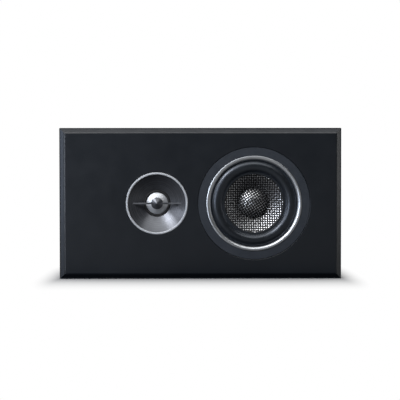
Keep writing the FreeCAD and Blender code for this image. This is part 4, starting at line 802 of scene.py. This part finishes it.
def weave(name, depth_at, inner, outer, pitch, turn):
    """Both families of tows between two radii; each goes over where the other goes under."""
    mesh = [], [], []
    count = int(outer / pitch) + 1
    for family, over in ((0, 1), (1, -1)):
        for index in range(-count, count):
            offset = (index + 0.5) * pitch
            sign = over * (-1) ** index
            for run in tow_runs(offset, inner, outer, pitch):
                lay_tow(mesh, depth_at, offset, run, family, turn, sign, pitch)
    points, faces, strands = mesh
    piece = new_piece(name, [WOOFER + p * MM for p in points], faces, "woven_fibre")
    strand = piece.data.uv_layers.new(name="strand")
    crown = piece.data.uv_layers.new(name="crown")
    for loop in piece.data.loops:
        across, along, flank, height = strands[loop.vertex_index]
        strand.data[loop.index].uv = across, along
        crown.data[loop.index].uv = flank, height
    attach(piece, "woofer_moving")
    print(name, len(piece.data.polygons), "faces")


cone_inner, cone_outer = CAP_RADIUS - CLOTH_UNDER_CAP, CONE_EDGE[0] - CONE_CLOTH_EDGE
weave("woofer_cone_cloth", cone_depth, cone_inner, cone_outer, CONE_PITCH, 0.0)
weave("woofer_cap_cloth", cap_depth, 0.0, CAP_RADIUS - CAP_CLOTH_EDGE, CAP_PITCH, CAP_TURN)

# %% [markdown]
# ## Rings that flex
#
# The rubber roll, the corrugated spider and the soft edge of the dome hold a moving part in a still
# one, and bend between them. A rigid ring would tear off at one edge when the cone moves. Each
# point has to follow its outer edge or its inner edge by its radius, but a blend runs along a
# straight line. So each ring is cut into sectors, each a short span round the axis. The normals are
# worked out from the profile and set one by one, so that no seam shows in the gloss.

# %% Sectors of a soft ring
RING_STEPS = 144                # facets round a whole ring
SHARP_CORNER = math.radians(40)


def profile_normals(profile):
    """The normals at both ends of each edge of a closed profile; sharp corners stay sharp."""
    edges = []
    for (r1, d1), (r2, d2) in zip(profile, profile[1:] + profile[:1]):
        edges.append(Vector((d1 - d2, r2 - r1)).normalized())
    ends = []
    for index, edge in enumerate(edges):
        before, after = edges[index - 1], edges[(index + 1) % len(edges)]
        start = (edge + before).normalized() if edge.angle(before) < SHARP_CORNER else edge
        end = (edge + after).normalized() if edge.angle(after) < SHARP_CORNER else edge
        ends.append((start, end))
    return ends


def ring_sector(name, axis, profile, sector, sectors, slot):
    """One closed sector of a turned ring, with normals that run on into its neighbours."""
    ends = profile_normals(profile)
    size = len(profile)
    steps = RING_STEPS // sectors
    span = 2 * math.pi / sectors
    angles = [span * (sector + step / steps) for step in range(steps + 1)]
    points = [lathe_point(axis, r, d, a) for a in angles for r, d in profile]
    faces, normals = [], []
    for step in range(steps):
        here, there = angles[step], angles[step + 1]
        low, high = step * size, (step + 1) * size
        for edge, (start, end) in enumerate(ends):
            beside = (edge + 1) % size
            faces.append((low + edge, high + edge, high + beside, low + beside))
            for flat, angle in ((start, here), (start, there), (end, there), (end, here)):
                normals.append((flat.x * math.cos(angle), flat.y, flat.x * math.sin(angle)))
    for end, angle in ((0, angles[0]), (steps, angles[-1])):
        cap = [end * size + index for index in range(size)]
        faces.append(tuple(cap) if end == 0 else tuple(reversed(cap)))
        sign = 1 if end == 0 else -1
        normals.extend([(sign * math.sin(angle), 0.0, -sign * math.cos(angle))] * size)
    piece = new_piece(name, points, faces, slot)
    piece.data.normals_split_custom_set(normals)
    return piece


print("facets round a ring", RING_STEPS)


# %% Rings between a still and a moving part
def flexing_ring(node, axis, profile, sectors, slot):
    """A soft ring in sectors, drawn in place of that node's solid."""
    for sector in range(sectors):
        piece = ring_sector(f"{node}_{sector + 1}", axis, profile, sector, sectors, slot)
        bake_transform(piece)
        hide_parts(node)
    print(node, sectors, "sectors of", len(profile), "profile points")


def arc_points(first, crest, last, count):
    """Points along an arc through three (radius, depth) points, without its last point."""
    depth_at = arc_through(first, crest, last)
    middle = (first[0] + last[0]) / 2
    half = (last[0] - first[0]) / 2
    radii = [middle - half * math.cos(math.pi * index / count) for index in range(count)]
    return [(r, depth_at(r)) for r in radii]


print("rings are cut into sectors")

# %% [markdown]
# ## Rubber roll
#
# The roll is a moulded half round of rubber between the cone and the trim ring, glued flat at both
# edges. A torus could be cut for it, but its wall has to stay thin and even, so its section is
# drawn as two arcs, one wall apart. It is the glossy one of the three rings and is seen from the
# front, where steps at its seams would show, so it has the most sectors.

# %% Rubber roll of the woofer
ROLL_POINTS = 28
ROLL_SECTORS = 36
RUBBER_FRONT, RUBBER_BACK = 3.6, 4.6    # mm behind the front face
ROLL_INNER, ROLL_OUTER, ROLL_CREST = 37.8, 51.8, -0.2
RUBBER_WALL = RUBBER_BACK - RUBBER_FRONT
FLANGE_EDGE = 57.3

roll_middle = (ROLL_INNER + ROLL_OUTER) / 2
roll_front = arc_points(
    (ROLL_INNER, RUBBER_FRONT), (roll_middle, ROLL_CREST), (ROLL_OUTER, RUBBER_FRONT),
    ROLL_POINTS)
roll_back = arc_points(
    (ROLL_OUTER - RUBBER_WALL, RUBBER_BACK), (roll_middle, ROLL_CREST + RUBBER_WALL),
    (ROLL_INNER + RUBBER_WALL, RUBBER_BACK), ROLL_POINTS)
roll_profile = [
    (CONE_EDGE[0], RUBBER_FRONT), *roll_front, (ROLL_OUTER, RUBBER_FRONT),
    (FLANGE_EDGE, RUBBER_FRONT), (FLANGE_EDGE, RUBBER_BACK), *roll_back,
    (ROLL_INNER + RUBBER_WALL, RUBBER_BACK), (CONE_EDGE[0], RUBBER_BACK),
]
flexing_ring("woofer_surround", WOOFER, roll_profile, ROLL_SECTORS,
             "surround_rubber")

# %% [markdown]
# ## Spider
#
# The spider is a disc of stiffened cotton, pressed in waves, that keeps the coil in the middle of
# its gap. A displaced disc would have no thickness, so the waves are drawn in the section, once for
# each face, and turned.

# %% Spider of the woofer
SPIDER_SECTORS = 18
SPIDER_FRONT, SPIDER_BACK = 28.0, 28.6  # mm behind the front face
SPIDER_INNER, SPIDER_OUTER = 13.1, 38.1
WAVES_START, WAVES_END, WAVE_COUNT, WAVE_HEIGHT = 16.1, 33.5, 4, 1.3
POINTS_PER_WAVE = 10

wave_steps = WAVE_COUNT * POINTS_PER_WAVE
waves = []
for index in range(wave_steps + 1):
    radius = WAVES_START + (WAVES_END - WAVES_START) * index / wave_steps
    turn = 2 * math.pi * WAVE_COUNT * index / wave_steps
    waves.append((radius, -WAVE_HEIGHT * math.sin(turn)))
spider_profile = [
    (SPIDER_INNER, SPIDER_FRONT), *((r, SPIDER_FRONT + lift) for r, lift in waves),
    (SPIDER_OUTER, SPIDER_FRONT), (SPIDER_OUTER, SPIDER_BACK),
    *((r, SPIDER_BACK + lift) for r, lift in reversed(waves)), (SPIDER_INNER, SPIDER_BACK),
]
flexing_ring("woofer_spider", WOOFER, spider_profile, SPIDER_SECTORS,
             "spider_cloth")

# %% [markdown]
# ## Soft edge of the dome
#
# A narrow half roll of doped silk carries the dome, and a flat rim of it is clamped behind the
# horn. It is made as the rubber roll is. The dome moves less than half a millimetre each way, so
# few sectors are enough.

# %% Soft edge of the dome
EDGE_SECTORS = 12
EDGE_INNER, EDGE_ROLL, EDGE_CLAMP = 13.2, 16.3, 19.8
EDGE_FRONT, EDGE_BACK, CLAMP_BACK, EDGE_CREST = 12.7, 13.2, 14.2, 11.2
EDGE_WALL = EDGE_BACK - EDGE_FRONT
EDGE_POINTS = 10

edge_middle = (EDGE_INNER + EDGE_ROLL) / 2
edge_front = arc_points(
    (EDGE_INNER, EDGE_FRONT), (edge_middle, EDGE_CREST), (EDGE_ROLL, EDGE_FRONT), EDGE_POINTS)
edge_back = arc_points(
    (EDGE_ROLL - EDGE_WALL, EDGE_BACK), (edge_middle, EDGE_CREST + EDGE_WALL),
    (EDGE_INNER, EDGE_BACK), EDGE_POINTS)
edge_profile = [
    *edge_front, (EDGE_ROLL, EDGE_FRONT), (EDGE_ROLL, EDGE_BACK), (EDGE_CLAMP, EDGE_BACK),
    (EDGE_CLAMP, CLAMP_BACK), (EDGE_ROLL - EDGE_WALL, CLAMP_BACK), *edge_back,
    (EDGE_INNER, EDGE_BACK),
]
flexing_ring("tweeter_surround", TWEETER, edge_profile, EDGE_SECTORS,
             "soft_edge")

# %% [markdown]
# ## Leads of the coil
#
# Two braided leads go from the solder tags to the back of the cone, and swing with it. A chain of
# bones could bend them, but the cone only moves a few millimetres. A curve with a round bevel gives
# their shape, and it is turned into a mesh.

# %% Tinsel leads
LEAD_RADIUS = 0.7               # mm
LEAD_SPREAD = 8.0               # mm above and below the axis
LEAD_REACH = 30.6               # mm from the axis to where a lead meets the cone
LEAD_STANDOFF = 1.7             # mm behind the face of the cone
LEAD_CURVE_ORDER = 3

lead_end = cone_depth(math.hypot(LEAD_REACH, LEAD_SPREAD)) + LEAD_STANDOFF
# Places across from the axis and behind the front face, in mm, from the tag to the cone.
lead_route = [(-44.6, 30.7), (-44.6, 22.7), (-38.1, 16.2), (-LEAD_REACH, lead_end)]

for side, name in ((-1, "woofer_tinsel_lead_lower"), (1, "woofer_tinsel_lead_upper")):
    route = [WOOFER + Vector((x, depth, side * LEAD_SPREAD)) * MM for x, depth in lead_route]
    curve = bpy.data.curves.new(name, "CURVE")
    curve.dimensions = "3D"
    curve.bevel_depth = LEAD_RADIUS * MM
    curve.use_fill_caps = True
    spline = curve.splines.new("NURBS")
    spline.points.add(len(route) - 1)
    for point, place in zip(spline.points, route):
        point.co = (*place, 1.0)
    spline.order_u = LEAD_CURVE_ORDER
    spline.use_endpoint_u = True
    drawn = bpy.data.objects.new(name + "_route", curve)
    lead = bpy.data.objects.new(name, bpy.data.meshes.new_from_object(drawn))
    bpy.data.objects.remove(drawn)
    lead.data.materials.clear()
    lead.data.materials.append(finishes["tinsel_braid"])
    bpy.context.scene.collection.objects.link(lead)
    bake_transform(lead)
    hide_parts("woofer_tinsel_leads")
    print(name, len(lead.data.polygons), "faces")

# %% [markdown]
# ## Wadding
#
# A block of polyester wadding fills the end of the box. It is soft: its edges are round, its sides
# pull in, and its surface is lumpy. A cube whose grid is rounded and pushed in by noise gives that
# without a cloth simulation, which would only press against the walls here.

# %% Points of the wadding
PAD_GRID = 14
PAD_ROUNDING = 0.35             # of the way from a block to a ball
PAD_BALL = 1.2                  # radius of that ball, in halves of the block
PAD_LUMPS, PAD_LUMP_WIDTH = 1.6, 12     # mm

pad_low, pad_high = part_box("damping_pad")
pad_middle, pad_half = (pad_low + pad_high) / 2, (pad_high - pad_low) / 2
points, faces, index_of = [], [], {}


def pad_point(spot):
    """The index of a grid point on the pad, made when it is first asked for."""
    if spot not in index_of:
        cube = Vector([2 * s / PAD_GRID - 1 for s in spot])
        ball = cube.normalized() * PAD_BALL
        soft = cube.lerp(ball, PAD_ROUNDING)
        soft = Vector([max(-1.0, min(1.0, s)) for s in soft])
        place = Vector([m + h * s for m, h, s in zip(pad_middle, pad_half, soft)])
        lump = (noise.noise(place / (PAD_LUMP_WIDTH * MM)) + 1) / 2 * PAD_LUMPS * MM
        index_of[spot] = len(points)
        points.append(place + (pad_middle - place).normalized() * lump)
    return index_of[spot]


print("wadding box", pad_low, pad_high)

# %% Block of wadding
for axis_index in range(3):
    for end in (0, PAD_GRID):
        for row in range(PAD_GRID):
            for column in range(PAD_GRID):
                spots = []
                for a, b in ((0, 0), (1, 0), (1, 1), (0, 1)):
                    spot = [row + a, column + b]
                    spot.insert(axis_index, end)
                    spots.append(pad_point(tuple(spot)))
                flip = (end == 0) != (axis_index == 1)
                faces.append(tuple(reversed(spots)) if flip else tuple(spots))
pad = new_piece("wadding_block", points, faces, "wadding")
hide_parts("damping_pad")
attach(pad, "cabinet")
print("wadding", len(faces), "faces")

# %% [markdown]
# ## Dress the solids
#
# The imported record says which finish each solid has. Materials could be put on one by one, but a
# loop can't forget any. The two solids under the cloth are the exception: they are the black resin
# between the tows.

# %% Put the finishes on
for part in frame["record"]["subparts"]:
    name, slot = part["node"], part["material_slot"]
    finish = resin if slot == "woven_fibre" else finishes[slot]
    for holder in frame["nodes"][name].material_slots:
        holder.material = finish
